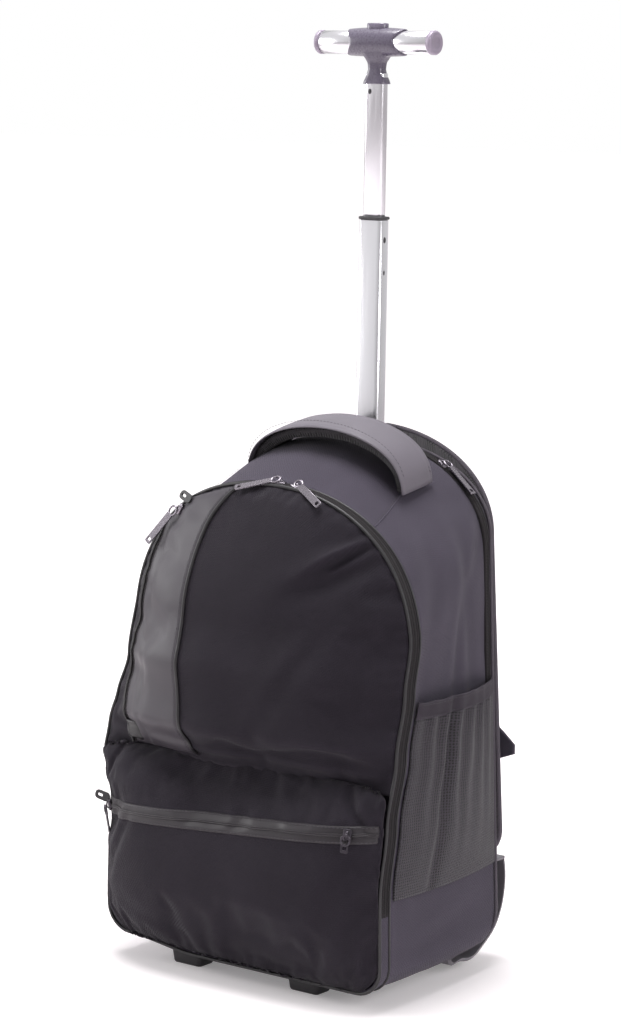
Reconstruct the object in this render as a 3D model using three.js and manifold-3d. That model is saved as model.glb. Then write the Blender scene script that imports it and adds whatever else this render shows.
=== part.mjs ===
// Wheeled backpack with a telescopic trolley pole, standing on two front feet and two rear wheels.
// Millimetres. The front of the bag faces -Y, +X is to the right seen from the front, +Z is up.
import * as THREE from 'three';
import { mergeVertices } from 'three/addons/utils/BufferGeometryUtils.js';
import Module from 'manifold-3d';

const wasm = await Module();
wasm.setup();

// Clearances and cloth
const GAP = 0.3;                  // between pieces that touch on the real bag
const CLOTH = 2.4;                // padded and lined polyester wall
const SKIN = 1.2;                 // single layer sewn on a wall
const MESH_CLOTH = 1.4;           // knitted mesh of the bottle pockets

// Bag body
const BAG_BOTTOM = 16;
const BAG_CORNER = 16;            // radius of the long bottom edges
const FRONT_WIDTH = 330;
const REACH = 1.2 * FRONT_WIDTH;  // length of a cutting block that only has to pass right through
const FRONT_SHOULDER = 315;       // height at which the front arch leaves the straight sides
const FRONT_TOP = 464;
const FRONT_POWER = 2.2;          // of the arch's curve: 2 is an ellipse, more is squarer
const BACK_SHOULDER_WIDTH = 284;
const BACK_BASE_WIDTH = 318;
const BACK_SHOULDER = 412;
const BACK_TOP = 496;
const BACK_POWER = 2.1;
const BACK_Y = 100;
const HEEL_RADIUS = 46;           // rounded lower back corner, seen from the side
const SIDE_BULGE = 3;

// Front seam, which runs back as it climbs, and the panel that swells in front of it
const SEAM_Y = -102;
const SEAM_SWEEP = 42;
const SEAM_HEIGHTS = [
  { height: 0.00, sweep: 0.07 },
  { height: 0.24, sweep: 0.00 },
  { height: 0.37, sweep: 0.20 },
  { height: 0.50, sweep: 0.50 },
  { height: 0.62, sweep: 0.76 },
  { height: 0.74, sweep: 0.98 },
  { height: 0.86, sweep: 1.00 },
  { height: 1.10, sweep: 0.92 },
];
const PANEL_BULGE = 51;
const PANEL_SWELL = [
  { height: 0.00, swell: 0.10 },
  { height: 0.43, swell: 0.10 },
  { height: 0.448, swell: 0.12 },
  { height: 0.475, swell: 0.42 },
  { height: 0.52, swell: 0.75 },
  { height: 0.66, swell: 0.98 },
  { height: 0.80, swell: 1.08 },
  { height: 1.10, swell: 1.00 },
];
const PANEL_COLUMNS = [-1, -0.94, -0.79, -0.54, -0.27, 0, 0.27, 0.54, 0.79, 0.94, 1];
const DOME_POWER = 3;
const FRONT_GUSSET = 14;          // depth of the cloth between the front seam and the main compartment

// Broad folds of the slack front cloth. across is a share of the half width, height of the front's
// height, turn is the way the fold runs, and the lengths are in millimetres
const FOLDS = [
  { across: 0.62, height: 0.80, turn: 35, length: 60, width: 24, depth: 5 },
  { across: 0.78, height: 0.62, turn: 80, length: 80, width: 26, depth: 4 },
  { across: 0.30, height: 0.50, turn: 15, length: 70, width: 22, depth: 4 },
  { across: -0.15, height: 0.56, turn: 100, length: 90, width: 34, depth: -3 },
];

// Front zip, sewn round the arch behind the front seam
const ZIP_BAND = 9;
const ZIP_BAND_EDGE = 1.5;        // cloth left in front of the zip
const FRONT_ZIP_END = 104;        // height of its two ends

// Main zip, sewn round the gusset just in front of the back seam
const MAIN_ZIP_BAND = 8;
const MAIN_ZIP_INSET = 7;
const MAIN_ZIP_BOW = 11;          // how far it swings forward to pass in front of the pole
const MAIN_ZIP_END = 250;

// Front pocket
const POCKET_TOP = 208;
const POCKET_BULGE = 27;
const POCKET_CORNER = 14;
const POCKET_LIP = 6;             // how far the pocket's upper edge stands off the seam
const POCKET_POWER = 6;
const POCKET_COLUMNS = [-1, -0.97, -0.9, -0.65, 0, 0.65, 0.9, 0.97, 1];
const POCKET_ZIP_LEFT = 146;      // height of the middle of the zip at the left end
const POCKET_ZIP_RIGHT = 167;
const POCKET_ZIP_HEIGHT = 16;

// Panel trim: smooth band, piping and the short upright zip at its left
const BAND_LINE = [
  { height: 1.00, inner: -0.10, zip: -0.55 },
  { height: 0.93, inner: -0.20, zip: -0.60 },
  { height: 0.82, inner: -0.33, zip: -0.68 },
  { height: 0.72, inner: -0.39, zip: -0.75 },
  { height: 0.60, inner: -0.43, zip: -0.83 },
  { height: 0.50, inner: -0.40, zip: -0.84 },
  { height: 0.44, inner: -0.36, zip: -0.81 },
];
const PIPING = 3;
const BAND_ZIP_WIDTH = 5;

// Bottle pockets on both sides
const BOTTLE_BOTTOM = 103;
const BOTTLE_TOP = 279;
const BOTTLE_FRONT_INSET = 8;     // from the zip side of the gusset
const BOTTLE_BACK_INSET = 4;
const BOTTLE_BULGE = 12;
const BOTTLE_PLEATS = 8;
const PLEAT_DEPTH = 2.2;
const ELASTIC_HEIGHT = 12;
const ELASTIC = 1.8;

// Grab handle
const HANDLE_SPAN = 210;
const HANDLE_RISE = 56;
const HANDLE_WIDTH = 50;
const HANDLE_STRIP = 3;
const HANDLE_PAD = 8;
const HANDLE_PAD_WIDTH = 38;
const HANDLE_Y = 20;
const HANDLE_SINK = 6;            // from the top of the front down to the arch's springing
const HANDLE_FOOT = FRONT_TOP - HANDLE_SINK;
const HANDLE_TILT = 10;           // degrees, rear edge up

// Trolley pole: fixed sleeve, lower and upper tube, T handle
const POLE_Y = 96;
const SLEEVE_WALL = 1.5;
const SLEEVE_BOTTOM = 60;
const SLEEVE_TOP = 492;
const LOWER_WIDTH = 27;
const LOWER_DEPTH = 16;
const LOWER_WALL = 1.3;
const LOWER_TOP = 704;
const LOWER_LENGTH = 430;
const UPPER_WIDTH = 21;
const UPPER_DEPTH = 11;
const UPPER_WALL = 1.2;
const UPPER_TOP = 842;
const UPPER_LENGTH = 200;
const SLIDE_GAP = 0.5;
const TUBE_ROUND = 0.32;          // corner radius as a share of a tube's narrow side
const COLLAR_HEIGHT = 3;
const COLLAR_LIP = 1.5;
const HUB_BOTTOM = 832;
const HUB_WIDTH = 54;
const HUB_NECK = 18;
const HUB_RIM = 3;                // plastic left round the grips, the tube and the button
const HUB_SOCKET = 14;            // how far each grip tube is pushed into the hub
const HUB_FLARE = { foot: 10, wing: 4, sweep: 8, edge: 2, shoulder: 0.6 };
const HUB_ROUND = 8;              // seen from above
const GRIP_Z = 871;
const GRIP_LENGTH = 136;
const GRIP_RADIUS = 11;
const GRIP_WALL = 1.6;
const CAP_LENGTH = 5;
const CAP = { plugLength: 8, lip: 0.4, chamfer: 1 };
const ROUND_SIDES = 18;           // sides of a round part of the handle
const BUTTON_LENGTH = 22;
const BUTTON_DEPTH = 12;
const BUTTON_TOP = 889;
const BUTTON_HEIGHT = 8;
const BUTTON_TRAVEL = 4;
const BUTTON_ROOT = 1;            // more of the button inside its well
const BUTTON_ROUND = 0.5;         // left flat at the ends of the button

// Wheels, corner guards and feet
const WHEEL_RADIUS = 30;
const WHEEL_WIDTH = 22;
const WHEEL_INSET = 47;           // from the side of the bag to the middle of the wheel
const WHEEL_X = FRONT_WIDTH / 2 - WHEEL_INSET;
const WHEEL_Y = 80;
const AXLE_RADIUS = 4;
const WHEEL_PLAY = 0.4;
const WHEEL_ROOM = 1.5;           // between the wheel's side and the guard
const WHEEL_DISH = 3;             // how deep the disc lies inside the hub and the rim
const TYRE_ROUND = 3;
const TYRE_STEP = 1;              // from the hub's end in to the tyre's side
const WELL_FRONT = 38;
const WELL_SIDE = 7;              // room beside the wheel
const WELL_INNER = WHEEL_X - WHEEL_WIDTH / 2 - WELL_SIDE;
const WELL_SKIRT = 11;            // cloth left outside the well
const WELL_OUTER = FRONT_WIDTH / 2 - WELL_SKIRT;
const WELL_TOP = 100;
const GUARD_INSET = 19;           // from the side of the bag to the guard's outer face
const GUARD_OUTER = FRONT_WIDTH / 2 - GUARD_INSET;
const GUARD_BACK = 133;
const GUARD_WALL = 3.5;
const SLOT_ROOM = 4;              // round the wheel in the guard's underside
const AXLE_SIDES = 16;
const FORK = { low: 10, high: 14, below: 12 };   // half widths, and its reach below the axle
const GUARD_LINE = [
  { back: 0.00, height: 0.17, wall: 1.0 },
  { back: 0.22, height: 0.11, wall: 1.8 },
  { back: 0.41, height: 0.09, wall: 2.4 },
  { back: 0.59, height: 0.16, wall: 2.2 },
  { back: 0.82, height: 0.31, wall: 1.3 },
  { back: 0.95, height: 0.51, wall: 1.0 },
  { back: 1.00, height: 0.76, wall: 1.0 },
  { back: 0.97, height: 0.97, wall: 1.0 },
];
const FOOT_X = 69.5;
const FOOT_Y = -77;
const FOOT_LENGTH = 37;
const FOOT_DEPTH = 26;
const FOOT_DRAFT = 2;

// Back panel and carrying straps
const PANEL_TOP = 509;
const PANEL_BOTTOM = 106;
const PANEL_THICKNESS = 12.5;
const PANEL_EDGE = 5;             // thin bound edge round the padding
const PANEL_EASE = { depth: 2, shoulder: 7, face: 16 };   // how the padding rounds off to its edge
const STRAP_THICKNESS = 10;
const STRAP_WIDTH = 62;
const STRAP_TAPER = 0.72;         // width of the lower end as a share of the upper
const STRAP_ROUND = 2;
const STRAP_TOP = 452;
const STRAP_END = 236;
const STRAP_X = 58;
const STRAP_SWING = 40;
const WEBBING = 25;
const WEBBING_THICKNESS = 2;
const TAB_HEIGHT = 46;
const TAB_Z = 208;
const TAB_INSET = 14;             // from the widest line of the back in to the tab's seam
const TAB_OUT = 8;
const TAB_ROOT = 12;
const TAB_FOLD = 6;
const TAB_THICKNESS = 3;
const LOCK = { height: 26, rim: 5, thickness: 4, slot: 5, spacing: 6, play: 1 };
const WEBBING_DROP = 18;          // straight stretch of webbing under the lock

// Zip pulls and loops
const SLIDER = { length: 11, width: 8, height: 4, seat: 4, round: 2.5, bridge: 2.4 };
const PULLER = { length: 46, width: 7, thickness: 1.6, round: 1, slot: 3.5, rim: 1.6, end: 4.2 };
const SMALL_PULLER = { length: 24, width: 5 };
const RING = { radius: 4.5, wire: 1.1 };
const LOOP = { length: 17, width: 9, thickness: 2 };

// Materials
const materials = {
  cloth: { color: 0x3e3a40, roughness: 0.85, metalness: 0 },
  gusset: { color: 0x504b58, roughness: 0.8, metalness: 0 },
  leatherette: { color: 0x8a858f, roughness: 0.5, metalness: 0 },
  band: { color: 0x625e63, roughness: 0.55, metalness: 0 },
  tape: { color: 0x3f3b39, roughness: 0.7, metalness: 0 },
  reflective: { color: 0x5a555a, roughness: 0.35, metalness: 0.1 },
  mesh: { color: 0x34303a, roughness: 0.9, metalness: 0 },
  aluminium: { color: 0xdedce2, roughness: 0.25, metalness: 1 },
  hub: { color: 0x4a4450, roughness: 0.3, metalness: 0 },
  plastic: { color: 0x2c2a2e, roughness: 0.5, metalness: 0 },
  guard: { color: 0x77727a, roughness: 0.5, metalness: 0 },
  rubber: { color: 0x39363b, roughness: 0.8, metalness: 0 },
  gunmetal: { color: 0xa9a3ab, roughness: 0.35, metalness: 0.9 },
};

// Geometry helpers

const mix = THREE.MathUtils.lerp;
const radians = THREE.MathUtils.degToRad;

function tableValue(rows, key, at, field) {
  const order = rows[0][key] <= rows[rows.length - 1][key] ? rows : [...rows].reverse();
  if (at <= order[0][key]) return order[0][field];
  for (let i = 1; i < order.length; i += 1) {
    if (at <= order[i][key]) {
      const t = (at - order[i - 1][key]) / (order[i][key] - order[i - 1][key]);
      return mix(order[i - 1][field], order[i][field], t * t * (3 - 2 * t));
    }
  }
  return order[order.length - 1][field];
}

function closed(geometry) {
  const bare = new THREE.BufferGeometry();
  bare.setAttribute('position', geometry.getAttribute('position').clone());
  if (geometry.index) bare.setIndex(geometry.index.clone());
  const merged = mergeVertices(bare, 1e-3);
  const index = Array.from(merged.index.array);
  const kept = [];
  for (let i = 0; i < index.length; i += 3) {
    const [a, b, c] = index.slice(i, i + 3);
    if (a !== b && b !== c && c !== a) kept.push(a, b, c);
  }
  merged.setIndex(kept);
  return facingOut(merged);
}

function facingOut(geometry) {
  const p = geometry.getAttribute('position');
  const index = Array.from(geometry.index.array);
  const [a, b, c] = [new THREE.Vector3(), new THREE.Vector3(), new THREE.Vector3()];
  let volume = 0;
  for (let i = 0; i < index.length; i += 3) {
    a.fromBufferAttribute(p, index[i]);
    b.fromBufferAttribute(p, index[i + 1]);
    c.fromBufferAttribute(p, index[i + 2]);
    volume += a.dot(b.cross(c));
  }
  if (volume < 0) {
    for (let i = 0; i < index.length; i += 3) [index[i + 1], index[i + 2]] = [index[i + 2], index[i + 1]];
    geometry.setIndex(index);
  }
  return geometry;
}

function solid(geometry) {
  const g = closed(geometry);
  return new wasm.Manifold(new wasm.Mesh({
    numProp: 3,
    vertProperties: new Float32Array(g.getAttribute('position').array),
    triVerts: new Uint32Array(g.index.array),
  }));
}

function shapeOf(manifold) {
  const mesh = manifold.getMesh();
  const geometry = new THREE.BufferGeometry();
  geometry.setAttribute('position', new THREE.BufferAttribute(new Float32Array(mesh.vertProperties), 3));
  geometry.setIndex(new THREE.BufferAttribute(new Uint32Array(mesh.triVerts), 1));
  return geometry;
}

// The main body of a cut that leaves slivers behind
function biggest(manifold) {
  return manifold.decompose().sort((a, b) => b.volume() - a.volume())[0];
}

function mirrored(geometry) {
  const copy = geometry.clone();
  copy.scale(-1, 1, 1);
  return facingOut(closed(copy));
}

function block(x0, x1, y0, y1, z0, z1) {
  const g = new THREE.BoxGeometry(x1 - x0, y1 - y0, z1 - z0);
  g.translate((x0 + x1) / 2, (y0 + y1) / 2, (z0 + z1) / 2);
  return g;
}

// Rings of equally many points, joined in order
function strip(rings) {
  const n = rings[0].length;
  const position = [];
  const index = [];
  rings.forEach((ring) => ring.forEach((p) => position.push(p.x, p.y, p.z)));
  for (let r = 0; r + 1 < rings.length; r += 1) {
    for (let i = 0; i < n; i += 1) {
      const [a, b] = [r * n + i, r * n + ((i + 1) % n)];
      index.push(a, b, b + n, a, b + n, a + n);
    }
  }
  const geometry = new THREE.BufferGeometry();
  geometry.setAttribute('position', new THREE.Float32BufferAttribute(position, 3));
  geometry.setIndex(index);
  return geometry;
}

// The same, closed by a fan at both ends
function loft(rings) {
  const n = rings[0].length;
  const position = Array.from(strip(rings).toNonIndexed().getAttribute('position').array);
  [0, rings.length - 1].forEach((r, end) => {
    const centre = rings[r].reduce((sum, p) => sum.add(p), new THREE.Vector3()).divideScalar(n);
    rings[r].forEach((p, i) => {
      const next = rings[r][(i + 1) % n];
      const fan = end ? [centre, p, next] : [centre, next, p];
      fan.forEach((corner) => position.push(corner.x, corner.y, corner.z));
    });
  });
  const geometry = new THREE.BufferGeometry();
  geometry.setAttribute('position', new THREE.Float32BufferAttribute(position, 3));
  return geometry;
}

// A closed sheet between two grids of points with the same rows and columns
function sheet(outer, inner) {
  const [rows, cols] = [outer.length, outer[0].length];
  const position = [];
  const index = [];
  [outer, inner].forEach((grid) => grid.forEach((row) => row.forEach((p) => position.push(p.x, p.y, p.z))));
  const at = (side, r, c) => side * rows * cols + r * cols + c;
  const face = (a, b, c, d) => index.push(a, b, c, a, c, d);
  for (let r = 0; r + 1 < rows; r += 1) {
    for (let c = 0; c + 1 < cols; c += 1) {
      face(at(0, r, c), at(0, r, c + 1), at(0, r + 1, c + 1), at(0, r + 1, c));
      face(at(1, r, c), at(1, r + 1, c), at(1, r + 1, c + 1), at(1, r, c + 1));
    }
    face(at(0, r, 0), at(0, r + 1, 0), at(1, r + 1, 0), at(1, r, 0));
    face(at(0, r, cols - 1), at(1, r, cols - 1), at(1, r + 1, cols - 1), at(0, r + 1, cols - 1));
  }
  for (let c = 0; c + 1 < cols; c += 1) {
    face(at(0, 0, c), at(1, 0, c), at(1, 0, c + 1), at(0, 0, c + 1));
    face(at(0, rows - 1, c), at(0, rows - 1, c + 1), at(1, rows - 1, c + 1), at(1, rows - 1, c));
  }
  const geometry = new THREE.BufferGeometry();
  geometry.setAttribute('position', new THREE.Float32BufferAttribute(position, 3));
  geometry.setIndex(index);
  return geometry;
}

function roundedShape(width, height, radius) {
  const [w, h] = [width / 2, height / 2];
  const shape = new THREE.Shape();
  shape.moveTo(-w + radius, -h);
  shape.lineTo(w - radius, -h);
  shape.absarc(w - radius, -h + radius, radius, -Math.PI / 2, 0);
  shape.lineTo(w, h - radius);
  shape.absarc(w - radius, h - radius, radius, 0, Math.PI / 2);
  shape.lineTo(-w + radius, h);
  shape.absarc(-w + radius, h - radius, radius, Math.PI / 2, Math.PI);
  shape.lineTo(-w, -h + radius);
  shape.absarc(-w + radius, -h + radius, radius, Math.PI, Math.PI * 1.5);
  return shape;
}

function extrude(shape, depth, steps = 3) {
  return new THREE.ExtrudeGeometry(shape, { depth, bevelEnabled: false, curveSegments: steps });
}

// A shape drawn in X and Z, standing from y0 to y1
function prismY(shape, y0, y1, steps) {
  const g = extrude(shape, y1 - y0, steps);
  g.rotateX(Math.PI / 2);
  g.translate(0, y1, 0);
  return g;
}

// A shape drawn in Y and Z, standing from x0 to x1
function prismX(shape, x0, x1, steps) {
  const g = extrude(shape, x1 - x0, steps);
  g.rotateX(Math.PI / 2);
  g.rotateZ(Math.PI / 2);
  g.translate(x0, 0, 0);
  return g;
}

function polygon(points) {
  return new THREE.Shape(points.map(([x, y]) => new THREE.Vector2(x, y)));
}

function tube(width, depth, wall, z0, z1, y = POLE_Y) {
  const round = Math.min(width, depth) * TUBE_ROUND;
  const shape = roundedShape(width, depth, round);
  const bore = roundedShape(width - 2 * wall, depth - 2 * wall, round - wall / 2);
  shape.holes.push(bore);
  const g = extrude(shape, z1 - z0, 1);
  g.translate(0, y, z0);
  return g;
}

// Bag outlines and surfaces

// Rows up the straight side lie closer together over the front pocket's upper edge
const flankStart = BAG_BOTTOM + BAG_CORNER;
const pocketShare = (POCKET_TOP - flankStart) / (FRONT_SHOULDER - flankStart);
const flank = [
  ...[0, 0.5, 0.9].map((t) => t * pocketShare),
  ...[0, 0.09, 0.26, 0.5, 0.77].map((t) => mix(pocketShare, 1, t)),
];
const frontOutline = {
  base: FRONT_WIDTH, side: FRONT_WIDTH, shoulder: FRONT_SHOULDER, top: FRONT_TOP, power: FRONT_POWER,
  flank, arch: 8,
};
const backOutline = {
  base: BACK_BASE_WIDTH, side: BACK_SHOULDER_WIDTH, shoulder: BACK_SHOULDER, top: BACK_TOP, power: BACK_POWER,
  flank, arch: 8,
};
const panelOutline = { ...backOutline, top: PANEL_TOP, bottom: PANEL_BOTTOM, flank: [0, 0.5] };
const pocketOutline = {
  base: FRONT_WIDTH, side: FRONT_WIDTH, shoulder: POCKET_TOP - POCKET_CORNER, top: POCKET_TOP, power: 4,
  flank: [0, 0.2, 0.45, 0.7, 0.9], arch: 4,
};

const FLOOR_STEPS = 2;
const CORNER_STEPS = 2;

// One side of an outline in X and Z, from the end of the flat bottom to the top centre
function sideLine(size, grow = 0) {
  const bottom = (size.bottom ?? BAG_BOTTOM) - grow;
  const radius = BAG_CORNER + grow / 2;
  const base = size.base / 2 + grow;
  const side = size.side / 2 + grow;
  const rise = size.top + grow - size.shoulder;
  const line = [];
  for (let i = 0; i < CORNER_STEPS; i += 1) {
    const a = (i / CORNER_STEPS) * Math.PI / 2;
    line.push([base - radius + radius * Math.sin(a), bottom + radius - radius * Math.cos(a)]);
  }
  size.flank.forEach((t) => line.push([mix(base, side, t), mix(bottom + radius, size.shoulder, t)]));
  for (let i = 0; i <= size.arch; i += 1) {
    const a = (i / size.arch) * Math.PI / 2;
    const [c, s] = [Math.max(Math.cos(a), 0) ** (2 / size.power), Math.sin(a) ** (2 / size.power)];
    line.push([side * c, size.shoulder + rise * s]);
  }
  line[line.length - 1][0] = 0;
  return line;
}

// One closed outline, from the bottom centre round the right side to the top and back
function outline(size, grow = 0) {
  const side = sideLine(size, grow);
  const [edge, bottom] = side[0];
  const half = [];
  for (let i = 0; i < FLOOR_STEPS; i += 1) half.push([edge * (i / FLOOR_STEPS), bottom]);
  half.push(...side);
  const other = half.slice(1, -1).reverse().map(([x, z]) => [-x, z]);
  return [...half, ...other];
}

const seamY = (z) => SEAM_Y + SEAM_SWEEP * tableValue(SEAM_HEIGHTS, 'height', z / FRONT_TOP, 'sweep');
const panelSwell = (z) => PANEL_BULGE * tableValue(PANEL_SWELL, 'height', z / FRONT_TOP, 'swell');

// How far out a point lies from an outline's middle: 0 there, 1 on the outline
function outlineShare(size, x, z) {
  const middle = (size.top + (size.bottom ?? BAG_BOTTOM)) / 2;
  const ring = outline(size);
  const [dx, dz] = [x, z - middle];
  for (let i = 0; i < ring.length; i += 1) {
    const [ax, az] = [ring[i][0], ring[i][1] - middle];
    const [bx, bz] = [ring[(i + 1) % ring.length][0], ring[(i + 1) % ring.length][1] - middle];
    const cross = dx * (bz - az) - dz * (bx - ax);
    const reach = (ax * (bz - az) - az * (bx - ax)) / cross;
    const along = (ax * dz - az * dx) / cross;
    if (reach > 0 && along >= -1e-9 && along <= 1 + 1e-9) return Math.min(1, 1 / reach);
  }
  return 0;
}

function foldDepth(x, z) {
  return FOLDS.reduce((sum, fold) => {
    const [dx, dz] = [x - fold.across * FRONT_WIDTH / 2, z - fold.height * FRONT_TOP];
    const [c, s] = [Math.cos(radians(fold.turn)), Math.sin(radians(fold.turn))];
    const [along, off] = [(dx * c + dz * s) / fold.length, (dz * c - dx * s) / fold.width];
    return sum + fold.depth * Math.exp(-along * along - off * off);
  }, 0);
}

const panelY = (x, z) => {
  const slack = 1 - outlineShare(frontOutline, x, z) ** DOME_POWER;
  return seamY(z) - (panelSwell(z) - foldDepth(x, z)) * slack;
};
const pocketSeam = (z) => seamY(z) - GAP - POCKET_LIP * THREE.MathUtils.smoothstep(z, BAG_BOTTOM, POCKET_TOP);
const pocketSwell = (z) => POCKET_BULGE * mix(0.88, 1, Math.sin(Math.PI * Math.min(1, z / POCKET_TOP)));
const pocketY = (x, z) => (
  pocketSeam(z) - pocketSwell(z) * (1 - outlineShare(pocketOutline, x, z) ** POCKET_POWER));

// Gusset of the bag between the front seam and the back seam, at a share of its depth
function gussetRing(share, grow = 0, ends = 0) {
  const front = outline(frontOutline, grow);
  const back = outline(backOutline, grow);
  const bulge = SIDE_BULGE * Math.sin(Math.PI * THREE.MathUtils.clamp(share, 0, 1));
  return front.map(([x, z], i) => {
    const fx = mix(x, back[i][0], share);
    const fz = mix(z, back[i][1], share);
    const start = seamY(z) + FRONT_GUSSET + GAP;
    const y = mix(start - ends, BACK_Y + ends, share);
    return new THREE.Vector3(fx + bulge * Math.sign(x) * Math.min(1, Math.abs(x) / 60), y, fz);
  });
}

const GUSSET_STATIONS = [0, 0.3, 0.7, 1];

function gussetSolid(grow, ends) {
  return solid(loft(GUSSET_STATIONS.map((share) => gussetRing(share, grow, ends))));
}

// Rounded heel of the bag, which both the wall and the hollow follow
function heelCut(inset) {
  const shape = new THREE.Shape();
  const [back, bottom, radius] = [BACK_Y - inset, BAG_BOTTOM + inset, HEEL_RADIUS - inset];
  shape.moveTo(-REACH, bottom - (inset < 0 ? 1 : 0));
  shape.lineTo(back - radius, bottom);
  shape.absarc(back - radius, bottom + radius, radius, -Math.PI / 2, 0);
  shape.lineTo(back, REACH * 2);
  shape.lineTo(-REACH, REACH * 2);
  return solid(prismX(shape, -REACH, REACH, 6));
}

// A bulging front over an outline: rows up its side line with columns across, and a plain back
function frontSolid(size, columns, surface, back, grow) {
  const base = sideLine(size);
  const grid = sideLine(size, grow).map(([x, z], row) => columns.map((share) => (
    new THREE.Vector3(x * share, surface(base[row][0] * share, base[row][1]) - grow, z))));
  const last = columns.length - 1;
  const rear = grid.map((row) => [row[0], row[last]].map((p) => new THREE.Vector3(p.x, back(p.z), p.z)));
  const corners = [];
  const quad = (a, b, c, d) => corners.push(a, b, c, a, c, d);
  for (let r = 0; r + 1 < grid.length; r += 1) {
    const [low, high] = [grid[r], grid[r + 1]];
    for (let c = 0; c < last; c += 1) quad(low[c], low[c + 1], high[c + 1], high[c]);
    quad(rear[r][1], rear[r][0], rear[r + 1][0], rear[r + 1][1]);
    quad(rear[r][0], low[0], high[0], rear[r + 1][0]);
    quad(low[last], rear[r][1], rear[r + 1][1], high[last]);
  }
  for (let c = 0; c < last; c += 1) corners.push(grid[0][c + 1], grid[0][c], rear[0][c < last / 2 ? 0 : 1]);
  corners.push(grid[0][last / 2], rear[0][0], rear[0][1]);
  return solid(new THREE.BufferGeometry().setFromPoints(corners));
}

const panelBack = (z) => seamY(z) + FRONT_GUSSET;
const panelSolid = (grow, ends = 0) => (
  frontSolid(frontOutline, PANEL_COLUMNS, panelY, (z) => panelBack(z) + ends, grow));
const pocketSolid = (grow) => frontSolid(pocketOutline, POCKET_COLUMNS, pocketY, panelBack, grow);

// A closed hoop that follows the bag outline: between two offsets, and between two depths
function hoop(ring, from, to) {
  const loop = [ring(from.y, from.grow), ring(from.y, to.grow), ring(to.y, to.grow), ring(to.y, from.grow)];
  return solid(strip([...loop, loop[0]]));
}

const above = (z) => solid(block(-REACH, REACH, -REACH, REACH, z, REACH * 2));

// Main compartment with its wheel wells, pole channel and zip opening

const panelChannel = POLE_Y + LOWER_DEPTH / 2 + SLIDE_GAP + SLEEVE_WALL + GAP;
const sleeveWidth = LOWER_WIDTH + 2 * (SLIDE_GAP + SLEEVE_WALL);
const sleeveDepth = LOWER_DEPTH + 2 * (SLIDE_GAP + SLEEVE_WALL);
const channelFront = POLE_Y - sleeveDepth / 2 - GAP;
const channelHalf = sleeveWidth / 2 + GAP;

function wells(grow) {
  const z1 = WELL_TOP + GAP + grow;
  const right = block(WELL_INNER - GAP - grow, WELL_OUTER + (grow > 0 ? REACH : 0),
    WELL_FRONT - GAP - grow, REACH, -REACH, z1);
  return solid(right).add(solid(mirrored(right)));
}

function channel(grow) {
  return solid(block(-channelHalf - grow, channelHalf + grow, channelFront - grow, REACH,
    SLEEVE_BOTTOM - GAP - grow, REACH * 2));
}

const zipStart = (z) => seamY(z) + ZIP_BAND_EDGE;
const frontRing = (y, grow) => {
  const seam = outline(frontOutline);
  return outline(frontOutline, grow).map(([x, z], i) => new THREE.Vector3(x, zipStart(seam[i][1]) + y, z));
};

// The main zip's hoop lies on the gusset in front of the back seam, and bows forward round the pole
const zipBow = (x) => (
  MAIN_ZIP_BOW * (1 - THREE.MathUtils.smoothstep(Math.abs(x), channelHalf * 1.5, channelHalf * 4.5)));
const mainZipRing = (y, grow) => {
  const share = (BACK_Y - MAIN_ZIP_INSET - MAIN_ZIP_BAND / 2 - SEAM_Y) / (BACK_Y - SEAM_Y);
  const rear = BACK_Y - MAIN_ZIP_INSET - MAIN_ZIP_BAND;
  const base = gussetRing(share);
  return gussetRing(share, grow).map((p, i) => new THREE.Vector3(p.x, rear - zipBow(base[i].x) + y, p.z));
};

const bagOuter = gussetSolid(0, 0).intersect(heelCut(0));
const bagHollow = gussetSolid(-CLOTH, -CLOTH).intersect(heelCut(CLOTH));
const mainSlot = hoop(mainZipRing, { y: -GAP, grow: -CLOTH * 3 }, { y: MAIN_ZIP_BAND + GAP, grow: CLOTH * 2 })
  .intersect(above(MAIN_ZIP_END - GAP));
const mainCompartment = bagOuter
  .subtract(bagHollow.subtract(wells(CLOTH)).subtract(channel(CLOTH)))
  .subtract(wells(0))
  .subtract(channel(0))
  .subtract(mainSlot);
const mainZip = hoop(mainZipRing, { y: 0, grow: -1.2 }, { y: MAIN_ZIP_BAND, grow: 0.4 })
  .intersect(above(MAIN_ZIP_END));

// Front compartment and its zip

const frontSlot = hoop(frontRing, { y: -GAP, grow: -CLOTH * 3 }, { y: ZIP_BAND + GAP, grow: CLOTH * 3 })
  .intersect(above(FRONT_ZIP_END - GAP));
const frontCompartment = panelSolid(0).subtract(panelSolid(-CLOTH, CLOTH * 2)).subtract(frontSlot);
const frontZip = hoop(frontRing, { y: 0, grow: -1.4 }, { y: ZIP_BAND, grow: 0.4 })
  .intersect(above(FRONT_ZIP_END));

// Front pocket, closed at its back by the front compartment

const panelCover = panelSolid(GAP);
const frontPocket = biggest(pocketSolid(0).subtract(pocketSolid(-CLOTH)).subtract(panelCover));

function pocketZipShape() {
  const [w, h] = [FRONT_WIDTH / 2 - PIPING, POCKET_ZIP_HEIGHT / 2];
  const slope = (POCKET_ZIP_RIGHT - POCKET_ZIP_LEFT) / FRONT_WIDTH;
  const middle = (POCKET_ZIP_RIGHT + POCKET_ZIP_LEFT) / 2;
  const line = [-1, -0.6, -0.2, 0.2, 0.6, 1].map((s) => [w * s, middle + slope * w * s]);
  const lower = line.map(([x, z]) => [x, z - h]);
  const upper = line.map(([x, z]) => [x, z + h]).reverse();
  return polygon([...lower, ...upper]);
}

const pocketTape = pocketSolid(GAP + SKIN).subtract(pocketSolid(GAP))
  .intersect(solid(prismY(pocketZipShape(), -REACH, SEAM_Y - GAP)));

// Smooth band, piping and upright zip on the front panel

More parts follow.
